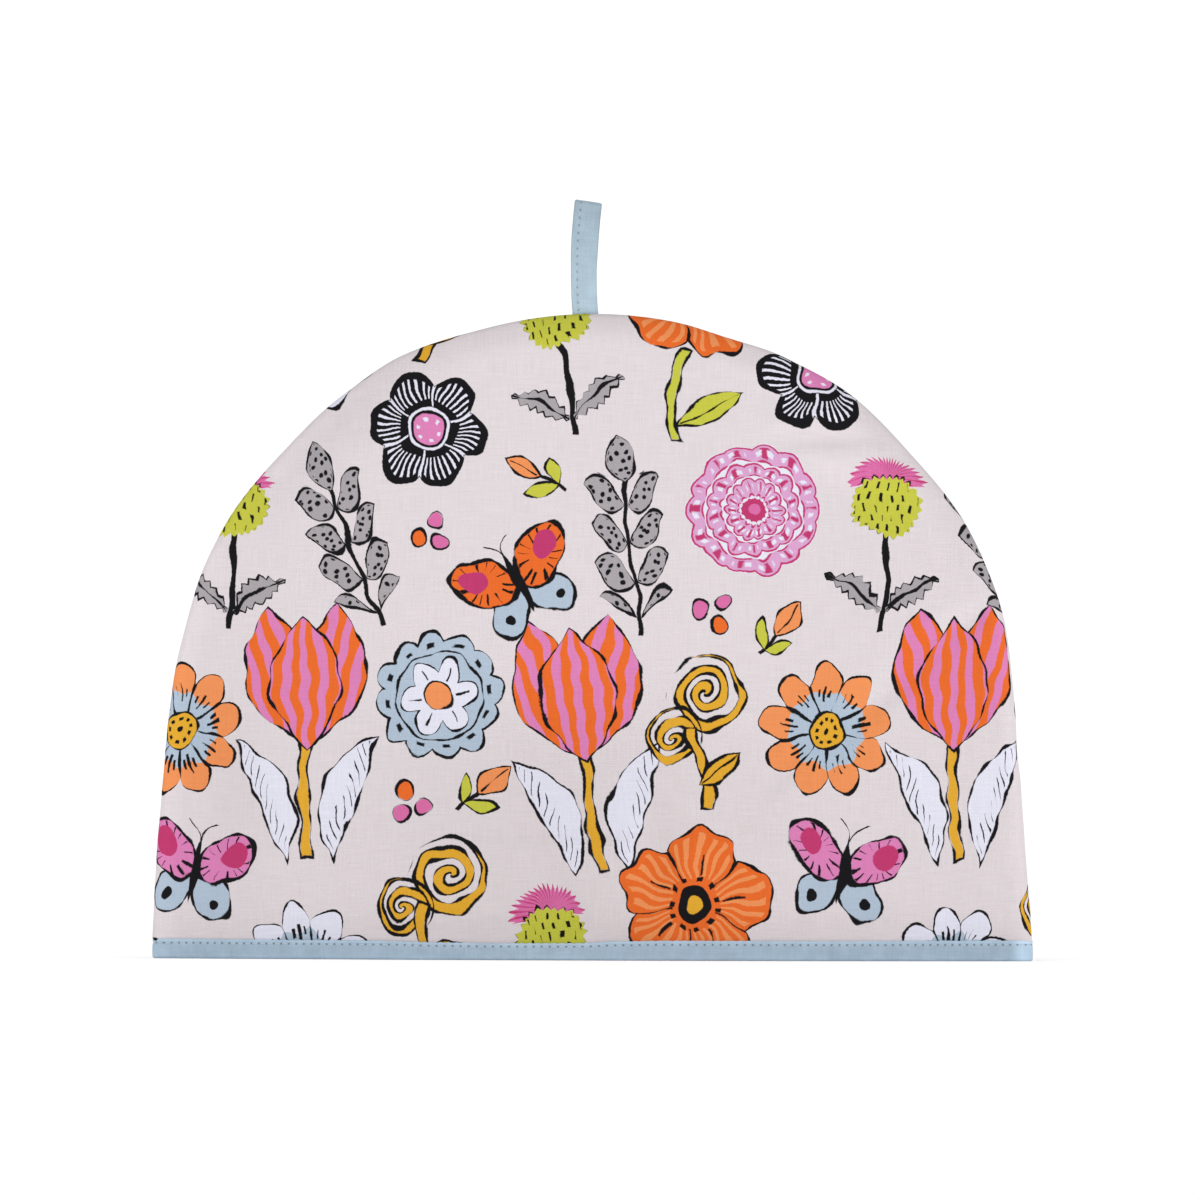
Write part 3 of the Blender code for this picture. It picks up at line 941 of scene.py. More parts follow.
def add_loop(material):
    """The hanging loop: its section carried along its line, with its faces puffed as
    sqrt(cos) across, and a stitched groove near its left edge, a bell exp(-d^2)
    deepened by (1/2 + 1/2 cos)^4 at each needle hole."""
    line, length = loop_line()
    section = strip_section()
    across = np.broadcast_to(section[:, 0], (LOOP_STEPS, len(section)))
    along = np.linspace(0, length, LOOP_STEPS)[:, None]
    stitches = round(length / LOOP_STITCH_PITCH)
    stitch = 2 * math.pi * along / length * stitches
    from_row = across + LOOP_WIDTH / 2 - LOOP_STITCH_INSET
    groove = np.exp(-((from_row / LOOP_GROOVE_HALF_WIDTH) ** 2))
    hole = (0.5 + 0.5 * np.cos(stitch)) ** 4
    groove = groove * (LOOP_GROOVE_DEPTH + LOOP_GROOVE_HOLE_DEPTH * hole)
    puff = LOOP_PUFF * np.cos(across / LOOP_WIDTH * math.pi) ** 0.5
    out = section[:, 1]
    face = np.sign(out) * (np.abs(out) > LOOP_THICKNESS * LOOP_FACE_FROM)
    points = loop_place(line, across, out + face * (puff - groove))
    rows, columns = across.shape
    faces = grid_faces(rows, columns, closed_columns=True)[:, ::-1]
    loop = new_mesh("loop_strip", points.reshape(-1, 3), faces, [material])

    # painted light and shade on the loop: darker towards its top, at its root and at its
    # edges
    height = points[..., 2]
    share = np.clip((height - PANEL_TOP) / LOOP_HEIGHT, 0, 1)
    above = np.maximum(height - LOOP_ROOT_SHADE_TOP, 0.0)
    root = LOOP_ROOT_SHADE * np.exp(-above / LOOP_ROOT_SHADE_REACH)
    edges = ramp(LOOP_WIDTH * LOOP_EDGE_FROM, LOOP_WIDTH / 2, np.abs(across))
    edges = LOOP_EDGE_SHADE * edges * share
    add_painted_light(loop, LOOP_PAINTED_LIGHT - LOOP_TOP_SHADE * share - root - edges)
    girth = line_length(np.concatenate([section, section[:1]]))
    row, column = np.divmod(faces, columns)
    cloth = np.stack([girth[past_join(column, columns)], row * length / rows], axis=-1)
    add_map(loop, "cloth", cloth)
    close_ends(loop, rows, columns)
    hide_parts("hanging_loop")
    return loop, line, length, stitches


def add_loop_stitches(line, stitches, material):
    """A stitch between each two needle holes, on the outer face of both legs."""
    place = (np.arange(stitches) + 0.5) / stitches * (len(line) - 1)
    spots = points_along(line, np.arange(len(line)), place)
    keep = spots[:, 1] > LOOP_LOWEST_STITCH
    inset = np.full((stitches, 1), LOOP_STITCH_INSET - LOOP_WIDTH / 2)
    out = np.full((stitches, 1), LOOP_THICKNESS / 2 - LOOP_STITCH_SINK)
    middle = loop_place(spots, inset, out)[:, 0]
    lifted = loop_place(spots, inset, out + 0.001)[:, 0]
    return add_threads(
        "loop_stitches",
        middle[keep],
        directions(middle, False)[keep],
        unit(lifted - middle)[keep],
        LOOP_THREAD_HALF_LENGTH,
        LOOP_THREAD_RADIUS,
        material,
    )


def close_ends(piece, rows, columns):
    """Two flat faces, on the first and the last ring of points, that close a tube."""
    mesh = piece.data
    count, corners = len(mesh.polygons), len(mesh.loops)
    mesh.loops.add(2 * columns)
    mesh.polygons.add(2)
    first = np.arange(columns)
    last = (rows - 1) * columns + np.arange(columns - 1, -1, -1)
    index = np.empty(len(mesh.loops), np.int32)
    mesh.loops.foreach_get("vertex_index", index)
    index[corners:] = np.concatenate([first, last])
    mesh.loops.foreach_set("vertex_index", index)
    for offset in range(2):
        mesh.polygons[count + offset].loop_start = corners + offset * columns
    mesh.update(calc_edges=True)


# ---------------------------------------------------------------- numbers as nodes
class Field:
    """A number worked out by shader nodes at each point of the cloth. Arithmetic
    between Fields and plain numbers adds the nodes for it."""

    def __init__(self, tree, socket):
        self.tree, self.socket = tree, socket

    def __add__(self, other):
        return compute(self.tree, "ADD", self, other)

    def __sub__(self, other):
        return compute(self.tree, "SUBTRACT", self, other)

    def __rsub__(self, other):
        return compute(self.tree, "SUBTRACT", other, self)

    def __mul__(self, other):
        return compute(self.tree, "MULTIPLY", self, other)

    def __truediv__(self, other):
        return compute(self.tree, "DIVIDE", self, other)

    __radd__, __rmul__ = __add__, __mul__


def compute(tree, operation, *values, clamp=False):
    """A Math node on these values, as a Field."""
    node = tree.nodes.new("ShaderNodeMath")
    node.operation, node.use_clamp = operation, clamp
    for slot, value in zip(node.inputs, values):
        plug(tree, slot, value)
    return Field(tree, node.outputs[0])


def plug(tree, slot, value):
    """Sets a socket to a number, or links it to a Field or another socket."""
    if isinstance(value, Field):
        tree.links.new(value.socket, slot)
    elif isinstance(value, bpy.types.NodeSocket):
        tree.links.new(value, slot)
    else:
        slot.default_value = value


def size_of(a):
    """The value without its sign."""
    return compute(a.tree, "ABSOLUTE", a)


def sine(a):
    """The sine of an angle in radians."""
    return compute(a.tree, "SINE", a)


def combined(operation, fields):
    """Some Fields made one, each taken with those before it by a Math node."""
    found = fields[0]
    for other in fields[1:]:
        found = compute(found.tree, operation, found, other)
    return found


def lowest(*fields):
    """The smallest of some Fields: where shapes overlap."""
    return combined("MINIMUM", fields)


def highest(*fields):
    """The largest of some Fields: shapes joined."""
    return combined("MAXIMUM", fields)


def wrapped(a, period):
    """The value less the nearest multiple of the period."""
    return compute(a.tree, "WRAP", a, period / 2, -period / 2)


def span(a, low, high):
    """Distance inside the range from low to high, negative outside it."""
    return (high - low) / 2 - size_of(a - (low + high) / 2)


def cover(distance, edge=0.3):
    """1 well inside a shape and 0 outside it, over a soft edge in millimetres."""
    return compute(distance.tree, "MULTIPLY_ADD", distance, 1 / edge, 0.5, clamp=True)


def vector_node(tree, operation, *values):
    """A Vector Math node's output socket."""
    node = tree.nodes.new("ShaderNodeVectorMath")
    node.operation = operation
    for slot, value in zip(node.inputs, values):
        plug(tree, slot, value)
    return node.outputs["Value" if operation == "LENGTH" else "Vector"]


MIX_SOCKETS = {"RGBA": (6, 7, 2), "VECTOR": (4, 5, 1)}  # two inputs and the output


def mixed(tree, share, first, second, kind="RGBA", blend="MIX"):
    """Two colours or vectors mixed by a share, or blended in another way."""
    node = tree.nodes.new("ShaderNodeMix")
    node.data_type, node.blend_type = kind, blend
    one, two, output = MIX_SOCKETS[kind]
    for slot, value in (("Factor", share), (one, first), (two, second)):
        plug(tree, node.inputs[slot], value)
    return node.outputs[output]


def turned(tree, vector, degrees):
    """A place as seen from a shape turned by degrees: the vector turned back by them."""
    node = tree.nodes.new("ShaderNodeVectorRotate")
    node.rotation_type = "Z_AXIS"
    node.inputs["Angle"].default_value = math.radians(-degrees)
    plug(tree, node.inputs["Vector"], vector)
    return node.outputs[0]


def noise(tree, vector, scale, detail=0.0, flat=True):
    """A noise texture's node, flat if it needs only the vector's first two numbers."""
    node = tree.nodes.new("ShaderNodeTexNoise")
    node.noise_dimensions = "2D" if flat else "3D"
    plug(tree, node.inputs["Vector"], vector)
    node.inputs["Scale"].default_value = scale
    node.inputs["Detail"].default_value = detail
    return node


class Place:
    """A place on the cloth in millimetres: x across and y along a shape's own line."""

    def __init__(self, tree, vector):
        self.tree, self.vector = tree, vector
        node = tree.nodes.new("ShaderNodeSeparateXYZ")
        tree.links.new(vector, node.inputs[0])
        self.x, self.y = (Field(tree, node.outputs[i]) for i in range(2))

    def at(self, x, y, turn=0):
        """This place seen from a shape whose middle is (x, y), turned by degrees."""
        moved = vector_node(self.tree, "SUBTRACT", self.vector, (x, y, 0))
        return Place(self.tree, turned(self.tree, moved, turn) if turn else moved)

    def mirrored(self):
        """This place with what lies left of the middle folded over to the right."""
        node = self.tree.nodes.new("ShaderNodeCombineXYZ")
        plug(self.tree, node.inputs[0], size_of(self.x))
        plug(self.tree, node.inputs[1], self.y)
        return Place(self.tree, node.outputs[0])

    def radius(self):
        """Distance from the middle."""
        return Field(self.tree, vector_node(self.tree, "LENGTH", self.vector))

    def angle(self):
        """Angle from straight up, growing to the left."""
        return compute(self.tree, "ARCTAN2", self.x * -1, self.y)

    def oval(self, across, along):
        """Distance inside an oval with these half sizes, roughly in millimetres."""
        sizes = (1 / across, 1 / along, 0)
        scaled = vector_node(self.tree, "MULTIPLY", self.vector, sizes)
        length = Field(self.tree, vector_node(self.tree, "LENGTH", scaled))
        return (1 - length) * min(across, along)

    def almond(self, half_length, half_width, bend=0.0):
        """Distance inside a leaf shape: width (1 - (y/L)^2), bent sideways by y^2."""
        square = self.y * self.y
        across = self.x - square * bend if bend else self.x
        return half_width - square * (half_width / half_length**2) - size_of(across)

    def petals(self, count, outer, notch, turn=0.0):
        """A ring of petals: each one's edge is outer - notch t^2, where t runs from
        -1 to 1 across the petal. Gives the distance inside, t and the radius."""
        step = 2 * math.pi / count
        t = wrapped(self.angle() + math.radians(turn), step) * (2 / step)
        radius = self.radius()
        return outer - notch * (t * t) - radius, t, radius


class Motif:
    """A drawing as a node group: flat colours and pen lines, painted one over the
    other. Its place is in millimetres from its middle, and pen is half the width of
    its lines, which thins out and breaks as a brush's does."""

    def __init__(self, name):
        self.tree = bpy.data.node_groups.new(name, "ShaderNodeTree")
        for label, way, kind in (
            ("Place", "INPUT", "NodeSocketVector"),
            ("Pen", "INPUT", "NodeSocketFloat"),
            ("Tint", "INPUT", "NodeSocketColor"),
            ("Colour", "OUTPUT", "NodeSocketColor"),
            ("Cover", "OUTPUT", "NodeSocketFloat"),
        ):
            self.tree.interface.new_socket(label, in_out=way, socket_type=kind)
        given = self.tree.nodes.new("NodeGroupInput")
        self.place = Place(self.tree, given.outputs["Place"])
        self.pen = Field(self.tree, given.outputs["Pen"])
        self.tint = given.outputs["Tint"]
        self.colour = self.covered = None

    def paint(self, colour, *shapes, grows=True):
        """Fills where all the shapes overlap. grows is false for a shape that lies on
        what is painted already."""
        self.lay(colour, cover(lowest(*shapes)), grows)

    def draw(self, line, *within, weight=1.0, colour=None):
        """A pen line where line is zero. Kept inside the shapes given, it lies on what
        is painted already."""
        pen = self.pen * weight if weight != 1.0 else self.pen
        stroke = pen - size_of(line)
        self.lay(colour or INK, cover(lowest(stroke, *within)), not within)

    def lay(self, colour, share, grows):
        """Lays a colour on the drawing. Where it grows past what is painted already,
        its share is of all that is covered there, so that no rim of the colour below
        shows round it."""
        if self.covered is None:
            self.colour, self.covered = colour, share
            return
        if grows:
            self.covered = highest(self.covered, share)
            share = share / self.covered
        self.colour = mixed(self.tree, share, self.colour, colour)

    def finish(self):
        """The node group, with the drawing's colour and cover led out of it."""
        out = self.tree.nodes.new("NodeGroupOutput")
        plug(self.tree, out.inputs["Colour"], self.colour)
        plug(self.tree, out.inputs["Cover"], self.covered)
        return self.tree


# ---------------------------------------------------------------- colours
FRONT_LIGHT = 1.50  # how brightly the studio lights a white thing that faces it


def linear(red, green, blue):
    """The linear colour that shows as this screen colour, 0 to 255, on the front: the
    screen's standard curve undone, over the light there."""
    parts = [c / 255 for c in (red, green, blue)]
    parts = [c / 12.92 if c < 0.04045 else ((c + 0.055) / 1.055) ** 2.4 for c in parts]
    return (*(c / FRONT_LIGHT for c in parts), 1.0)


GROUND = linear(226, 217, 220)
INK = linear(22, 21, 24)
ORANGE = linear(236, 110, 45)
CORAL = linear(242, 150, 92)
PINK = linear(222, 132, 186)
ROSE = linear(219, 112, 168)
ORCHID = linear(220, 166, 208)
CRIMSON = linear(194, 60, 112)
MUSTARD = linear(229, 172, 52)
SKY = linear(180, 196, 213)
GREY = linear(172, 166, 170)
LIME = linear(200, 201, 72)
WHITE = linear(232, 231, 245)
BINDING_BLUE = linear(173, 194, 212)
LOOP_BLUE = linear(181, 202, 216)
BINDING_THREAD_BLUE = linear(194, 212, 226)
LOOP_THREAD_BLUE = linear(182, 202, 214)
LINING = linear(226, 222, 214)


def dimmed(colour, share):
    """The colour times a share."""
    return (*(c * share for c in colour[:3]), 1.0)


# ---------------------------------------------------------------- the drawings
def tulip(m):
    """A striped bloom of three petals on a bent stem between two long leaves."""
    leaf = m.place.mirrored().at(12, -21, -22)
    shape = leaf.almond(23, 6.5, bend=0.010)
    m.paint(WHITE, shape)
    m.draw(wrapped(leaf.y + leaf.x * 1.6, 4.4), shape - 1.4, leaf.x - 0.8, weight=0.7)
    m.draw(shape)
    stem = 1.5 - size_of(m.place.x - sine(m.place.y * 0.07) * 1.5)
    length = span(m.place.y, -43, 0)
    stem = lowest(stem, length)
    m.paint(MUSTARD, stem)
    m.draw(lowest(stem + 0.3, length + 1))
    petal = m.place.mirrored().at(10, 20, -15)
    shape = petal.almond(25, 12, bend=-0.006)
    m.paint(PINK, shape)
    m.paint(ORANGE, shape, 1.6 - size_of(wrapped(petal.x + 1.5, 6.4)), grows=False)
    m.draw(shape)
    petal = m.place.at(0, 18)
    shape = petal.almond(23, 13)
    m.paint(ORANGE, shape)
    curved = petal.x * (1 + petal.y * petal.y * 0.0014)
    m.paint(PINK, shape, 1.7 - size_of(wrapped(curved, 6.8)), grows=False)
    m.draw(shape)


def thistle(m):
    """A round head of short strokes under a tuft, on a stem with two toothed leaves."""
    x, y = m.place.x, m.place.y
    stem = lowest(1.3 - size_of(x + sine(y * 0.09) * 1.2), span(y, -38, 6))
    m.paint(INK, stem)
    leaf = m.place.mirrored().at(11, -22, -58)
    teeth = size_of(wrapped(leaf.y, 4.0))
    curve = leaf.x - leaf.y * leaf.y * 0.012
    shape = 5.0 - leaf.y * leaf.y * 0.0255 - size_of(curve) - teeth * 0.9
    m.paint(GREY, shape)
    m.draw(curve, shape)
    m.draw(shape, weight=0.8)
    tuft = m.place.at(0, 24)
    rays = wrapped(tuft.angle(), 0.19)
    edge = 17.0 - size_of(rays) * 26 - tuft.at(0, -8).radius()
    up = tuft.y + 4
    m.paint(ROSE, edge, up)
    m.draw(rays * 14, edge, up, weight=0.55, colour=CRIMSON)
    head = m.place.at(0, 12)
    jagged = size_of(wrapped(head.angle(), 0.26)) * 12
    body = head.oval(14.5, 13.0) - jagged
    m.paint(LIME, body)
    row = wrapped(head.y + head.x * head.x * 0.012, 4.4)
    lane = wrapped(head.x + (head.y - row) * 0.5, 4.4)
    m.draw(lane, 1.5 - size_of(row), body - 0.8, weight=0.9)
    m.draw(body + 0.4, 1.1 - jagged, weight=0.9)


def sprig(m):
    """A spray of grey leaves in pairs, each with dark spots."""
    x, y = m.place.x, m.place.y
    stem = lowest(0.9 - size_of(x), span(y, -40, 22))
    m.paint(INK, stem)
    slope, pitch, length = 0.72, 15.5, 17.0
    level = y - size_of(x) * slope
    lane = wrapped(level + 4, pitch)
    along = size_of(x) * math.sqrt(1 + slope**2) - length / 2 - 1.0
    width = 5.6 - along * along * (5.6 / (length / 2) ** 2)
    pairs = lowest(width - size_of(lane) * 0.82, span(level, -34, 19))
    tip = m.place.at(0, 31)
    leaves = highest(pairs, tip.almond(10.5, 5.6))
    m.paint(GREY, leaves)
    spots = m.tree.nodes.new("ShaderNodeTexVoronoi")
    spots.voronoi_dimensions = "2D"
    spots.inputs["Scale"].default_value = 0.30
    spots.inputs["Randomness"].default_value = 0.75
    m.tree.links.new(m.place.vector, spots.inputs["Vector"])
    near = 0.9 - Field(m.tree, spots.outputs["Distance"]) * 3.4
    m.paint(INK, near, leaves - 0.9, grows=False)
    m.draw(leaves)


def poppy(m):
    """A wide five-petalled bloom with darker strokes and a dotted eye, on a stem."""
    stem = m.place.at(-2, -26)
    line = stem.x - stem.y * stem.y * 0.012
    length = span(stem.y, -18, 14)
    shape = lowest(1.4 - size_of(line), length)
    m.paint(LIME, shape)
    m.draw(lowest(shape + 0.3, length + 1))
    leaf = m.place.at(12, -31, -52)
    blade = leaf.almond(13, 4.6)
    m.paint(LIME, blade)
    m.draw(leaf.x, blade - 0.8, weight=0.7)
    m.draw(blade)
    bloom = m.place.at(0, 12)
    edge, t, radius = bloom.petals(5, 27, 7)
    edge = edge + sine(t * 9.0) * 0.7
    m.paint(ORANGE, edge)
    ripple = wrapped(t * 3.3 + sine(radius * 0.35) * 0.18, 1.0)
    stripe = (size_of(ripple) - 0.28) * 6
    m.paint(CORAL, edge - 2.2, stripe, radius - 9, grows=False)
    m.draw(edge)
    m.draw((1 - size_of(t)) * radius * 0.6, edge, radius - 8)
    m.draw(t * radius * 0.6, span(radius, 10, 17), weight=0.8)
    m.paint(INK, 6.0 - radius, grows=False)
    _, around, out = bloom.petals(11, 8.6, 0)
    m.paint(INK, 0.9 - size_of(out - 8.4), 0.9 - size_of(around * 2.4), grows=False)
    m.paint(MUSTARD, 2.6 - radius, grows=False)


def daisy(m):
    """Nine petals with short dark strokes round a mustard eye."""
    edge, t, radius = m.place.petals(9, 27, 8)
    m.paint(m.tint, edge)
    m.paint(SKY, edge, 13.5 - radius + size_of(t) * 3, grows=False)
    m.draw(edge)
    half_petal = radius * 0.35
    m.draw((1 - size_of(t)) * half_petal, edge, radius - 8)
    m.draw(t * half_petal, span(radius, 11, 18), weight=0.9)
    m.draw((size_of(t) - 0.42) * half_petal, span(radius, 13, 16.5), weight=0.8)
    m.paint(MUSTARD, 7.6 - radius, grows=False)
    m.draw(radius - 7.6)
    m.paint(INK, 0.75 - size_of(radius - 4.6), 0.8 - size_of(t * 1.6), grows=False)
    m.paint(INK, 1.1 - radius, grows=False)


def dahlia(m):
    """Rings of frilled rose petals with crimson strokes and white between: the ring
    is the whole number of times a ring's width fits between the rim and the point."""
    step, width = 2 * math.pi / 14, 7.2
    radius = m.place.radius()
    ring = compute(m.tree, "FLOOR", (27 - radius) / width)
    t = wrapped(m.place.angle() + ring * (step / 2), step) * (2 / step)
    edge = 26.6 - ring * width - t * t * 1.7 - radius
    rim = 27 - size_of(t) * size_of(t) * 2 - radius
    m.paint(WHITE, rim)
    m.paint(CRIMSON, edge, 6.4 - edge, grows=False)
    m.paint(ORCHID, edge - 0.8, 5.6 - edge, grows=False)
    band = span(edge, 1.6, 5.2)
    m.draw(t * 2.2, band, weight=0.9, colour=CRIMSON)
    m.draw((size_of(t) - 0.5) * 2.2, band - 0.9, weight=0.7, colour=WHITE)
    m.paint(CRIMSON, 4.6 - radius, grows=False)
    m.paint(ROSE, 2.4 - radius, grows=False)


def anemone(m):
    """Six dark petals with pale stripes round a pink eye."""
    edge, t, radius = m.place.petals(6, 24.5, 6.5)
    m.paint(INK, edge)
    m.paint(WHITE, (size_of(t) - 0.93) * 10, edge - 0.5, radius - 9, grows=False)
    stripe = wrapped(t * 2.4, 0.6)
    m.paint(WHITE, (0.11 - size_of(stripe)) * 8, edge - 3.0, radius - 12, grows=False)
    m.paint(WHITE, 8.6 - radius, grows=False)
    m.paint(INK, 7.4 - radius, grows=False)
    m.paint(PINK, 6.2 - radius, grows=False)
    m.paint(WHITE, 0.7 - size_of(radius - 4.2), 0.7 - size_of(t * 2.2), grows=False)


def rosette(m):
    """A pale blue round of scallops, with a dotted rim and a petalled middle."""
    edge, t, radius = m.place.petals(12, 25.5, 3.4)
    m.paint(SKY, edge)
    m.draw(edge)
    m.paint(INK, 0.8 - size_of(radius - 20.4), 0.8 - size_of(t * 2.6), grows=False)
    m.draw(radius - 17.6, weight=0.8)
    inner, around, out = m.place.petals(6, 15.5, 5.5, turn=30)
    m.paint(WHITE, inner, grows=False)
    m.draw(inner, weight=0.9)
    m.draw(around * out * 0.5, span(out, 7, 12), weight=0.7)
    m.paint(CORAL, 5.4 - radius, grows=False)
    m.draw(radius - 5.4, weight=0.8)


def scroll(m):
    """Two curled fern tips on one bent stalk."""
    for x, y, size, side in ((4, 13, 1.0, 1), (-8, -4, 0.72, -1)):
        curl = m.place.at(x, y)
        pitch = 7.0 * size
        turns = compute(m.tree, "ARCTAN2", curl.y, curl.x * side) * (pitch / 2 / math.pi)
        out = curl.radius()
        reach = 14.5 * size - out
        band = lowest(1.9 * size - size_of(wrapped(out - turns, pitch)), reach)
        m.paint(MUSTARD, band)
        m.draw(lowest(band, reach))
    stalk = m.place.at(0, -12)
    line = stalk.x + sine(stalk.y * 0.11) * 4.5 - 2
    length = span(stalk.y, -18, 12)
    shape = lowest(1.8 - size_of(line), length)
    m.paint(MUSTARD, shape)
    m.draw(lowest(shape + 0.3, length + 1))
    leaf = m.place.at(10, -16, -50)
    blade = leaf.almond(10, 3.8)
    m.paint(MUSTARD, blade)
    m.draw(leaf.x, blade - 0.6, weight=0.7)
    m.draw(blade)


def butterfly(m):
    """Two pairs of wings, pale spots along their rims, and feelers."""
    half = m.place.mirrored()
    lower = half.at(9, -9, 40)
    shape = lower.oval(7.5, 10)
    m.paint(SKY, shape)
    m.draw(shape)
    m.paint(INK, 2.2 - lower.at(0, -3).radius(), grows=False)
    upper = half.at(12.5, 7, -52)
    shape = upper.oval(8.5, 14)
    m.paint(m.tint, shape)
    m.draw(wrapped(upper.angle(), 0.5) * 9, span(shape, 0.9, 3.9), weight=0.8)
    m.paint(CRIMSON, upper.at(0, 4).oval(4.5, 6), grows=False)
    m.draw(shape, weight=1.2)
    m.paint(INK, 2.0 - half.y * half.y * 0.0118 - half.x)
    feeler = half.x - (half.y - 11) * (half.y - 11) * 0.07
    m.paint(INK, m.pen * 0.7 - size_of(feeler), span(half.y, 11, 20))


def bud(m):
    """A small coral bud with two leaves."""
    stem = lowest(0.8 - size_of(m.place.x), span(m.place.y, -12, 4))
    m.paint(INK, stem)
    leaf = m.place.mirrored().at(4.5, -4, -42)
    shape = leaf.almond(6.5, 2.6)
    m.paint(LIME, shape)
    m.draw(shape, weight=0.8)
    bloom = m.place.at(0, 7)
    shape = bloom.almond(8, 4.6)
    m.paint(CORAL, shape)
    m.draw(bloom.x, shape - 1.5, weight=0.6)
    m.draw(shape, weight=0.9)


def berries(m):
    """Three berries in a ring."""
    for x, y, colour in ((-4.5, 2, ROSE), (4.0, 4.5, ORANGE), (1.2, -5.0, ROSE)):
        berry = m.place.at(x, y).radius()
        m.paint(colour, 3.2 - berry)
        m.draw(berry - 3.4, weight=0.8)


# Where each drawing lies in one repeat of the print, in millimetres, its turn in
# degrees and the colour that some drawings take
REPEAT = (262.0, 250.0)
LAYOUT_COLUMNS = ("kind", "across", "up", "turn", "tint")
LAYOUT = named(
    LAYOUT_COLUMNS,
    ("tulip", -115, 90, 2, WHITE),
    ("tulip", -3, 85, 8, WHITE),
    ("thistle", -14, -3, 10, WHITE),
    ("thistle", 116, -80, -3, WHITE),
    ("sprig", -99, -80, 22, WHITE),
    ("sprig", 14, -80, 7, WHITE),
    ("poppy", 38, 9, -9, WHITE),
    ("daisy", -115, -4, 91, WHITE),
    ("daisy", 93, 92, 41, CORAL),
    ("dahlia", 63, -70, -38, WHITE),
    ("anemone", -66, -38, 21, WHITE),
    ("anemone", 89, -15, -94, WHITE),
    ("rosette", -61, 105, -52, WHITE),
    ("scroll", -65, 22, -19, WHITE),
    ("scroll", 40, 93, -1, WHITE),
    ("butterfly", 100, 35, -12, PINK),
    ("butterfly", -29, -100, 30, ORANGE),
    ("bud", -44, 67, -48, WHITE),
    ("bud", 72, -119, -42, WHITE),
    ("bud", -22, -56, 60, WHITE),
    ("berries", -64, -79, 147, WHITE),
    ("berries", 47, -111, -111, WHITE),
    ("berries", -72, 62, 69, WHITE),
)
# How far each drawing reaches from its middle before scaling, and its scale
DRAWING_COLUMNS = ("drawing", "reach", "scale")
DRAWINGS = named(
    DRAWING_COLUMNS,
    (tulip, 52, 1.15),
    (thistle, 46, 1.0),
    (sprig, 46, 1.0),
    (poppy, 46, 1.14),
    (daisy, 30, 1.0),
    (dahlia, 30, 1.0),
    (anemone, 27, 1.0),
    (rosette, 28, 1.0),
    (scroll, 36, 1.05),
    (butterfly, 30, 1.0),
    (bud, 18, 1.0),
    (berries, 14, 1.0),
)


# ---------------------------------------------------------------- materials
PRINT_WEAVE = 0.46  # millimetres from one thread of the weave to the next
PLAIN_WEAVE = 0.42
WEAVE_DRIFT, WEAVE_DRIFT_SCALE = 0.5, 0.35  # how far the threads stray from straight
SLUB_RATES = ((2.2, 0.09, 0), (0.09, 2.2, 0))  # thick and thin threads, both ways
SLUB_SHARE = 0.09  # how unevenly light the threads are
BETWEEN_THREADS = 0.015  # how much painted shade darkens the cloth between them
WEAVE_HEIGHT, RIDGE_HEIGHT, SLUB_HEIGHT = 0.35, 0.4, 1.1
BUMP_STRENGTH, BUMP_DISTANCE = 0.35, 0.00012
CLOUD_SCALE, CLOUD_SHADE = 0.16, 0.78
BINDING_HOLE = 0.27  # how light the painted shadow at a needle hole is beside the cloth
LOOP_HOLE = 0.46
HOLE_STRETCH, HOLE_FALL, HOLE_CORE = 1.6, 1.9, 0.85
TWIST_SCALE, TWIST_SHADE = 2500.0, 0.75

# How the printed lines wander and shiver, in millimetres, and how the pen's half width
# changes with the pressure
WANDER, WANDER_SCALE = 3.4, 0.10
SHIVER, SHIVER_SCALE = 0.3, 0.9
PRESS_SCALE, PEN_SWELL, PEN_START = 0.12, 1.7, -0.36
OUTSIDE = (500.0, 500.0, 0.0)  # a place outside every drawing


def new_material(name, **sockets):
    """A material with these values on its shader's sockets, its nodes and its shader."""
    material = bpy.data.materials.new(name)
    material.use_nodes = True
    shader = material.node_tree.nodes["Principled BSDF"]
    for socket, value in sockets.items():
        shader.inputs[socket.replace("_", " ")].default_value = value
    return material, material.node_tree, shader


def cloth_material(name, pitch):
    """A matt cotton with its weave, and its shader, its place in millimetres on the
    cloth, and a colour share that varies from thread to thread. The plain weave is
    sin x sin y, where the two sets pass over in turn, and each thread is a ridge."""
    material, tree, shader = new_material(name, Roughness=0.9, Specular_IOR_Level=0.08)
    uv = tree.nodes.new("ShaderNodeUVMap")
    uv.uv_map = "cloth"
    to_millimetres = (MILLIMETRES, MILLIMETRES, 0)
    place = Place(tree, vector_node(tree, "MULTIPLY", uv.outputs[0], to_millimetres))

    drift = noise(tree, place.vector, WEAVE_DRIFT_SCALE, 1.0).outputs["Color"]
    far = (WEAVE_DRIFT, WEAVE_DRIFT, 0)
    thread = Place(tree, vector_node(tree, "MULTIPLY_ADD", drift, far, place.vector))
    over = sine(thread.x * (math.pi / pitch))
    under = sine(thread.y * (math.pi / pitch))
    height = over * under
    ridge = size_of(over) + size_of(under)
    uneven = []
    for rate in SLUB_RATES:
        stretched = vector_node(tree, "MULTIPLY", place.vector, rate)
        uneven.append(Field(tree, noise(tree, stretched, 1.0).outputs[0]))
    slubs = uneven[0] + uneven[1]
    raised = height * WEAVE_HEIGHT + ridge * RIDGE_HEIGHT + slubs * SLUB_HEIGHT
    bump = tree.nodes.new("ShaderNodeBump")
    bump.inputs["Strength"].default_value = BUMP_STRENGTH
    bump.inputs["Distance"].default_value = BUMP_DISTANCE
    plug(tree, bump.inputs["Height"], raised)
    tree.links.new(bump.outputs[0], shader.inputs["Normal"])
    return material, tree, shader, place, slubs, height


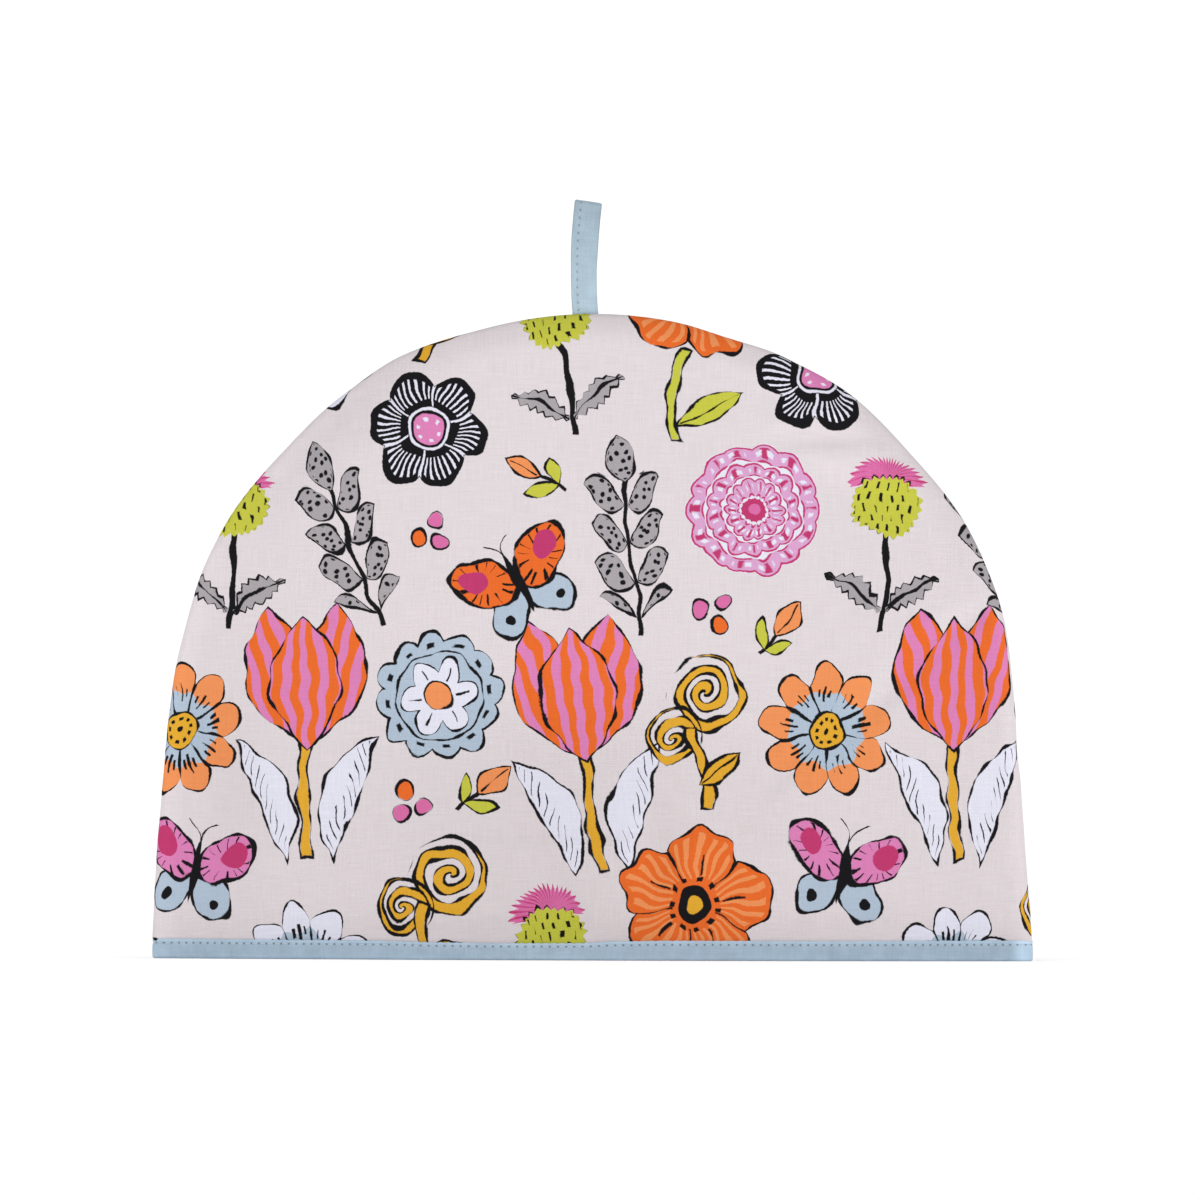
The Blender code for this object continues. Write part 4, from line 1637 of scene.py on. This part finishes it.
def shaded(tree, colour, slubs, height):
    """The colour, with a little painted shade between the threads and uneven from one
    thread to the next, times the piece's painted light and shade."""
    level = compute(tree, "MULTIPLY_ADD", slubs, SLUB_SHARE, 1 - SLUB_SHARE)
    # painted shade between the threads, by the weave's height
    level = compute(tree, "MULTIPLY_ADD", height, BETWEEN_THREADS, level)
    # painted light and shade, read from the piece's attribute
    painted_light = tree.nodes.new("ShaderNodeAttribute")
    painted_light.attribute_name = "painted_light"
    level = level * Field(tree, painted_light.outputs["Fac"])
    return mixed(tree, 1.0, colour, level, blend="MULTIPLY")


def plain_cloth(name, colour, pitch, lines=()):
    """A plain cotton, softly clouded. lines are its rows of stitches, each as the axis it
    runs along, its place across that axis and its pitch in millimetres, and how light its
    needle holes are: shadow is painted on the cloth round each of them."""
    material, tree, shader, place, slubs, height = cloth_material(name, pitch)
    cloudy = noise(tree, place.vector, CLOUD_SCALE, 3.0).outputs[0]
    base = mixed(tree, cloudy, dimmed(colour, CLOUD_SHADE), colour)
    for axis, across, step, shade in lines:
        along, side = (place.x, place.y) if axis == "x" else (place.y, place.x)
        gap = wrapped(along, step)
        gap = gap * gap + (side - across) * (side - across) * HOLE_STRETCH
        hole = compute(tree, "MULTIPLY_ADD", gap, -HOLE_FALL, HOLE_CORE, clamp=True)
        # painted shadow round each needle hole
        base = mixed(tree, hole, base, dimmed(colour, shade))
    plug(tree, shader.inputs["Base Color"], shaded(tree, base, slubs, height))
    return material


def thread_material(name, colour):
    """A twisted cotton thread: its colour mixed with a darker one by a fine noise."""
    material, tree, shader = new_material(name, Roughness=0.6, Sheen_Weight=0.2)
    where = tree.nodes.new("ShaderNodeTexCoord").outputs["Object"]
    twist = noise(tree, where, TWIST_SCALE, 1.0, flat=False).outputs[0]
    base = mixed(tree, twist, dimmed(colour, TWIST_SHADE), colour)
    plug(tree, shader.inputs["Base Color"], base)
    return material


def printed_cloth():
    """The printed cotton: a blush ground, and each drawing where the layout puts it.
    A drawing is worked out once, at the nearest of its places in the repeat. The
    drawn place wanders by two noises, less their mean."""
    material, tree, shader, place, slubs, height = cloth_material(
        "printed cloth", PRINT_WEAVE
    )
    drawn = place.vector
    moves = []
    for scale in (WANDER_SCALE, SHIVER_SCALE):
        moves.append(noise(tree, place.vector, scale).outputs["Color"])
    for move, size in zip(moves, (WANDER, SHIVER)):
        drawn = vector_node(tree, "MULTIPLY_ADD", move, (size, size, 0), drawn)
    mean = (WANDER + SHIVER) / 2
    drawn = vector_node(tree, "SUBTRACT", drawn, (mean, mean, 0))
    press = noise(tree, place.vector, PRESS_SCALE, 1.0).outputs[0]
    pen = compute(tree, "MULTIPLY_ADD", press, PEN_SWELL, PEN_START)

    colour = GROUND
    for row in DRAWINGS:
        drawing, scale = row["drawing"], row["scale"]
        places = [spot for spot in LAYOUT if spot["kind"] == drawing.__name__]
        nearest, tint = nearest_place(tree, drawn, places, row["reach"] * scale)
        motif = Motif(drawing.__name__)
        drawing(motif)
        group = tree.nodes.new("ShaderNodeGroup")
        group.node_tree = motif.finish()
        if scale != 1.0:
            even = (1 / scale, 1 / scale, 0)
            nearest = vector_node(tree, "MULTIPLY", nearest, even)
        plug(tree, group.inputs["Place"], nearest)
        plug(tree, group.inputs["Pen"], pen * (1 / scale) if scale != 1.0 else pen)
        plug(tree, group.inputs["Tint"], tint)
        colour = mixed(tree, group.outputs["Cover"], colour, group.outputs["Colour"])
    plug(tree, shader.inputs["Base Color"], shaded(tree, colour, slubs, height))
    return material


def nearest_place(tree, drawn, places, reach):
    """The place as seen from whichever of a drawing's places it is within reach of,
    counting every repeat, and that place's tint; far from all of them, a place
    outside the drawing."""
    half = (REPEAT[0] / 2, REPEAT[1] / 2, 1.0)
    low = tuple(-h for h in half)
    first_tint = places[0]["tint"]
    nearest, tint = OUTSIDE, first_tint
    for spot in places:
        moved = vector_node(tree, "SUBTRACT", drawn, (spot["across"], spot["up"], 0))
        moved = vector_node(tree, "WRAP", moved, half, low)
        length = Field(tree, vector_node(tree, "LENGTH", moved))
        near = compute(tree, "LESS_THAN", length, float(reach))
        seen = turned(tree, moved, spot["turn"])
        nearest = mixed(tree, near, nearest, seen, kind="VECTOR")
        if spot["tint"] != first_tint:
            tint = mixed(tree, near, tint, spot["tint"])
    return nearest, tint


# ---------------------------------------------------------------- stage and camera
FLOOR_HALF_WIDTH = 20.0
FLOOR_WHITE = (0.95, 0.95, 0.95, 1)
SKY_STRENGTH = 1.06
LIGHT_AIM = (0, 0, 0.12)
LIGHT_COLUMNS = ("name", "place", "size", "power")
LIGHTS = named(
    LIGHT_COLUMNS,
    ("front", (-0.4, -3.2, 0.9), 0.8, 24),
    ("right", (2.3, -2.4, 0.5), 1.0, 20),
    ("left", (-2.3, -2.4, 0.35), 1.0, 14),
)
FILM_WIDTH = 36.0
VIEW_WIDTH = 0.4772  # of the whole picture, at the cosy
VIEW_DISTANCE = 6.0
VIEW_MIDDLE = 0.00245
EYE_HEIGHT, AIM_HEIGHT = 0.040, 0.1430
VIEW_TILT = 0.20  # degrees
VIEW_LIMIT = 50  # how far the camera sees


def add_stage():
    """A pale floor, flat and far larger than the cosy."""
    far = FLOOR_HALF_WIDTH
    corners = [(-far, -far, 0), (far, -far, 0), (far, far, 0), (-far, far, 0)]
    mesh = bpy.data.meshes.new("floor")
    mesh.from_pydata(corners, [], [(0, 1, 2, 3)])
    paper = new_material(
        "paper", Base_Color=FLOOR_WHITE, Roughness=1.0, Specular_IOR_Level=0.0
    )
    mesh.materials.append(paper[0])
    put_in_scene("floor", mesh)


def point_at(thing, place, aim):
    """Stands a light or the camera at a place, looking at another."""
    thing.location = place
    look = Vector(aim) - Vector(place)
    thing.rotation_euler = look.to_track_quat("-Z", "Y").to_euler()


def add_lights():
    """An even white sky, and three round lamps aimed at the cosy."""
    world = bpy.data.worlds.new("studio")
    bpy.context.scene.world = world
    world.use_nodes = True
    sky = world.node_tree.nodes["Background"]
    sky.inputs["Color"].default_value = (1, 1, 1, 1)
    sky.inputs["Strength"].default_value = SKY_STRENGTH
    for lamp in LIGHTS:
        data = bpy.data.lights.new(lamp["name"], "AREA")
        data.shape, data.size, data.energy = "DISK", lamp["size"], lamp["power"]
        point_at(put_in_scene(lamp["name"], data), lamp["place"], LIGHT_AIM)
    bpy.context.scene.view_settings.view_transform = "Standard"


def add_camera():
    """Straight on from the front and far off, so that the outline isn't foreshortened:
    the lens is the film's width times the distance over the width in view."""
    data = bpy.data.cameras.new("camera")
    data.sensor_width = FILM_WIDTH
    data.lens = FILM_WIDTH * VIEW_DISTANCE / VIEW_WIDTH
    data.clip_end = VIEW_LIMIT
    camera = put_in_scene("camera", data)
    eye = (VIEW_MIDDLE, -VIEW_DISTANCE, EYE_HEIGHT)
    point_at(camera, eye, (VIEW_MIDDLE, 0.0, AIM_HEIGHT))
    camera.rotation_euler.rotate_axis("Z", math.radians(VIEW_TILT))
    bpy.context.scene.camera = camera


# ---------------------------------------------------------------- the whole cosy
def add_panels():
    """The front panel and the back one, in the same print and lining."""
    cloths = [printed_cloth(), plain_cloth("lining cloth", LINING, PRINT_WEAVE)]
    add_panel("front_panel_cloth", "front_panel", FRONT_FOLDS, 1, (0.0, 0.0), cloths)
    add_panel(
        "back_panel_cloth", "back_panel", BACK_FOLDS, -1, BACK_PRINT_SHIFT, cloths
    )


def add_bound_hem():
    """The binding in its cloth, with its row of stitches on both faces."""
    outer, inner, step = binding_stitch_lines()
    rows = [("x", across, step, BINDING_HOLE) for across in (outer, inner)]
    cloth = plain_cloth("binding cloth", BINDING_BLUE, PLAIN_WEAVE, rows)
    thread = thread_material("binding thread", BINDING_THREAD_BLUE)
    binding, path, outward, length, count = add_binding(cloth)
    stitches = add_binding_stitches(path, outward, count, thread)


def add_hanging_loop():
    """The loop in its cloth, with its row of stitches on the outer face."""
    across = MILLIMETRES * (LOOP_STITCH_INSET - LOOP_THICKNESS / 2)
    rows = [("y", across, MILLIMETRES * loop_stitch_step(), LOOP_HOLE)]
    cloth = plain_cloth("loop cloth", LOOP_BLUE, PLAIN_WEAVE, rows)
    thread = thread_material("loop thread", LOOP_THREAD_BLUE)
    loop, line, length, count = add_loop(cloth)
    stitches = add_loop_stitches(line, count, thread)


add_panels()
add_bound_hem()
add_hanging_loop()
add_stage()
add_lights()
add_camera()
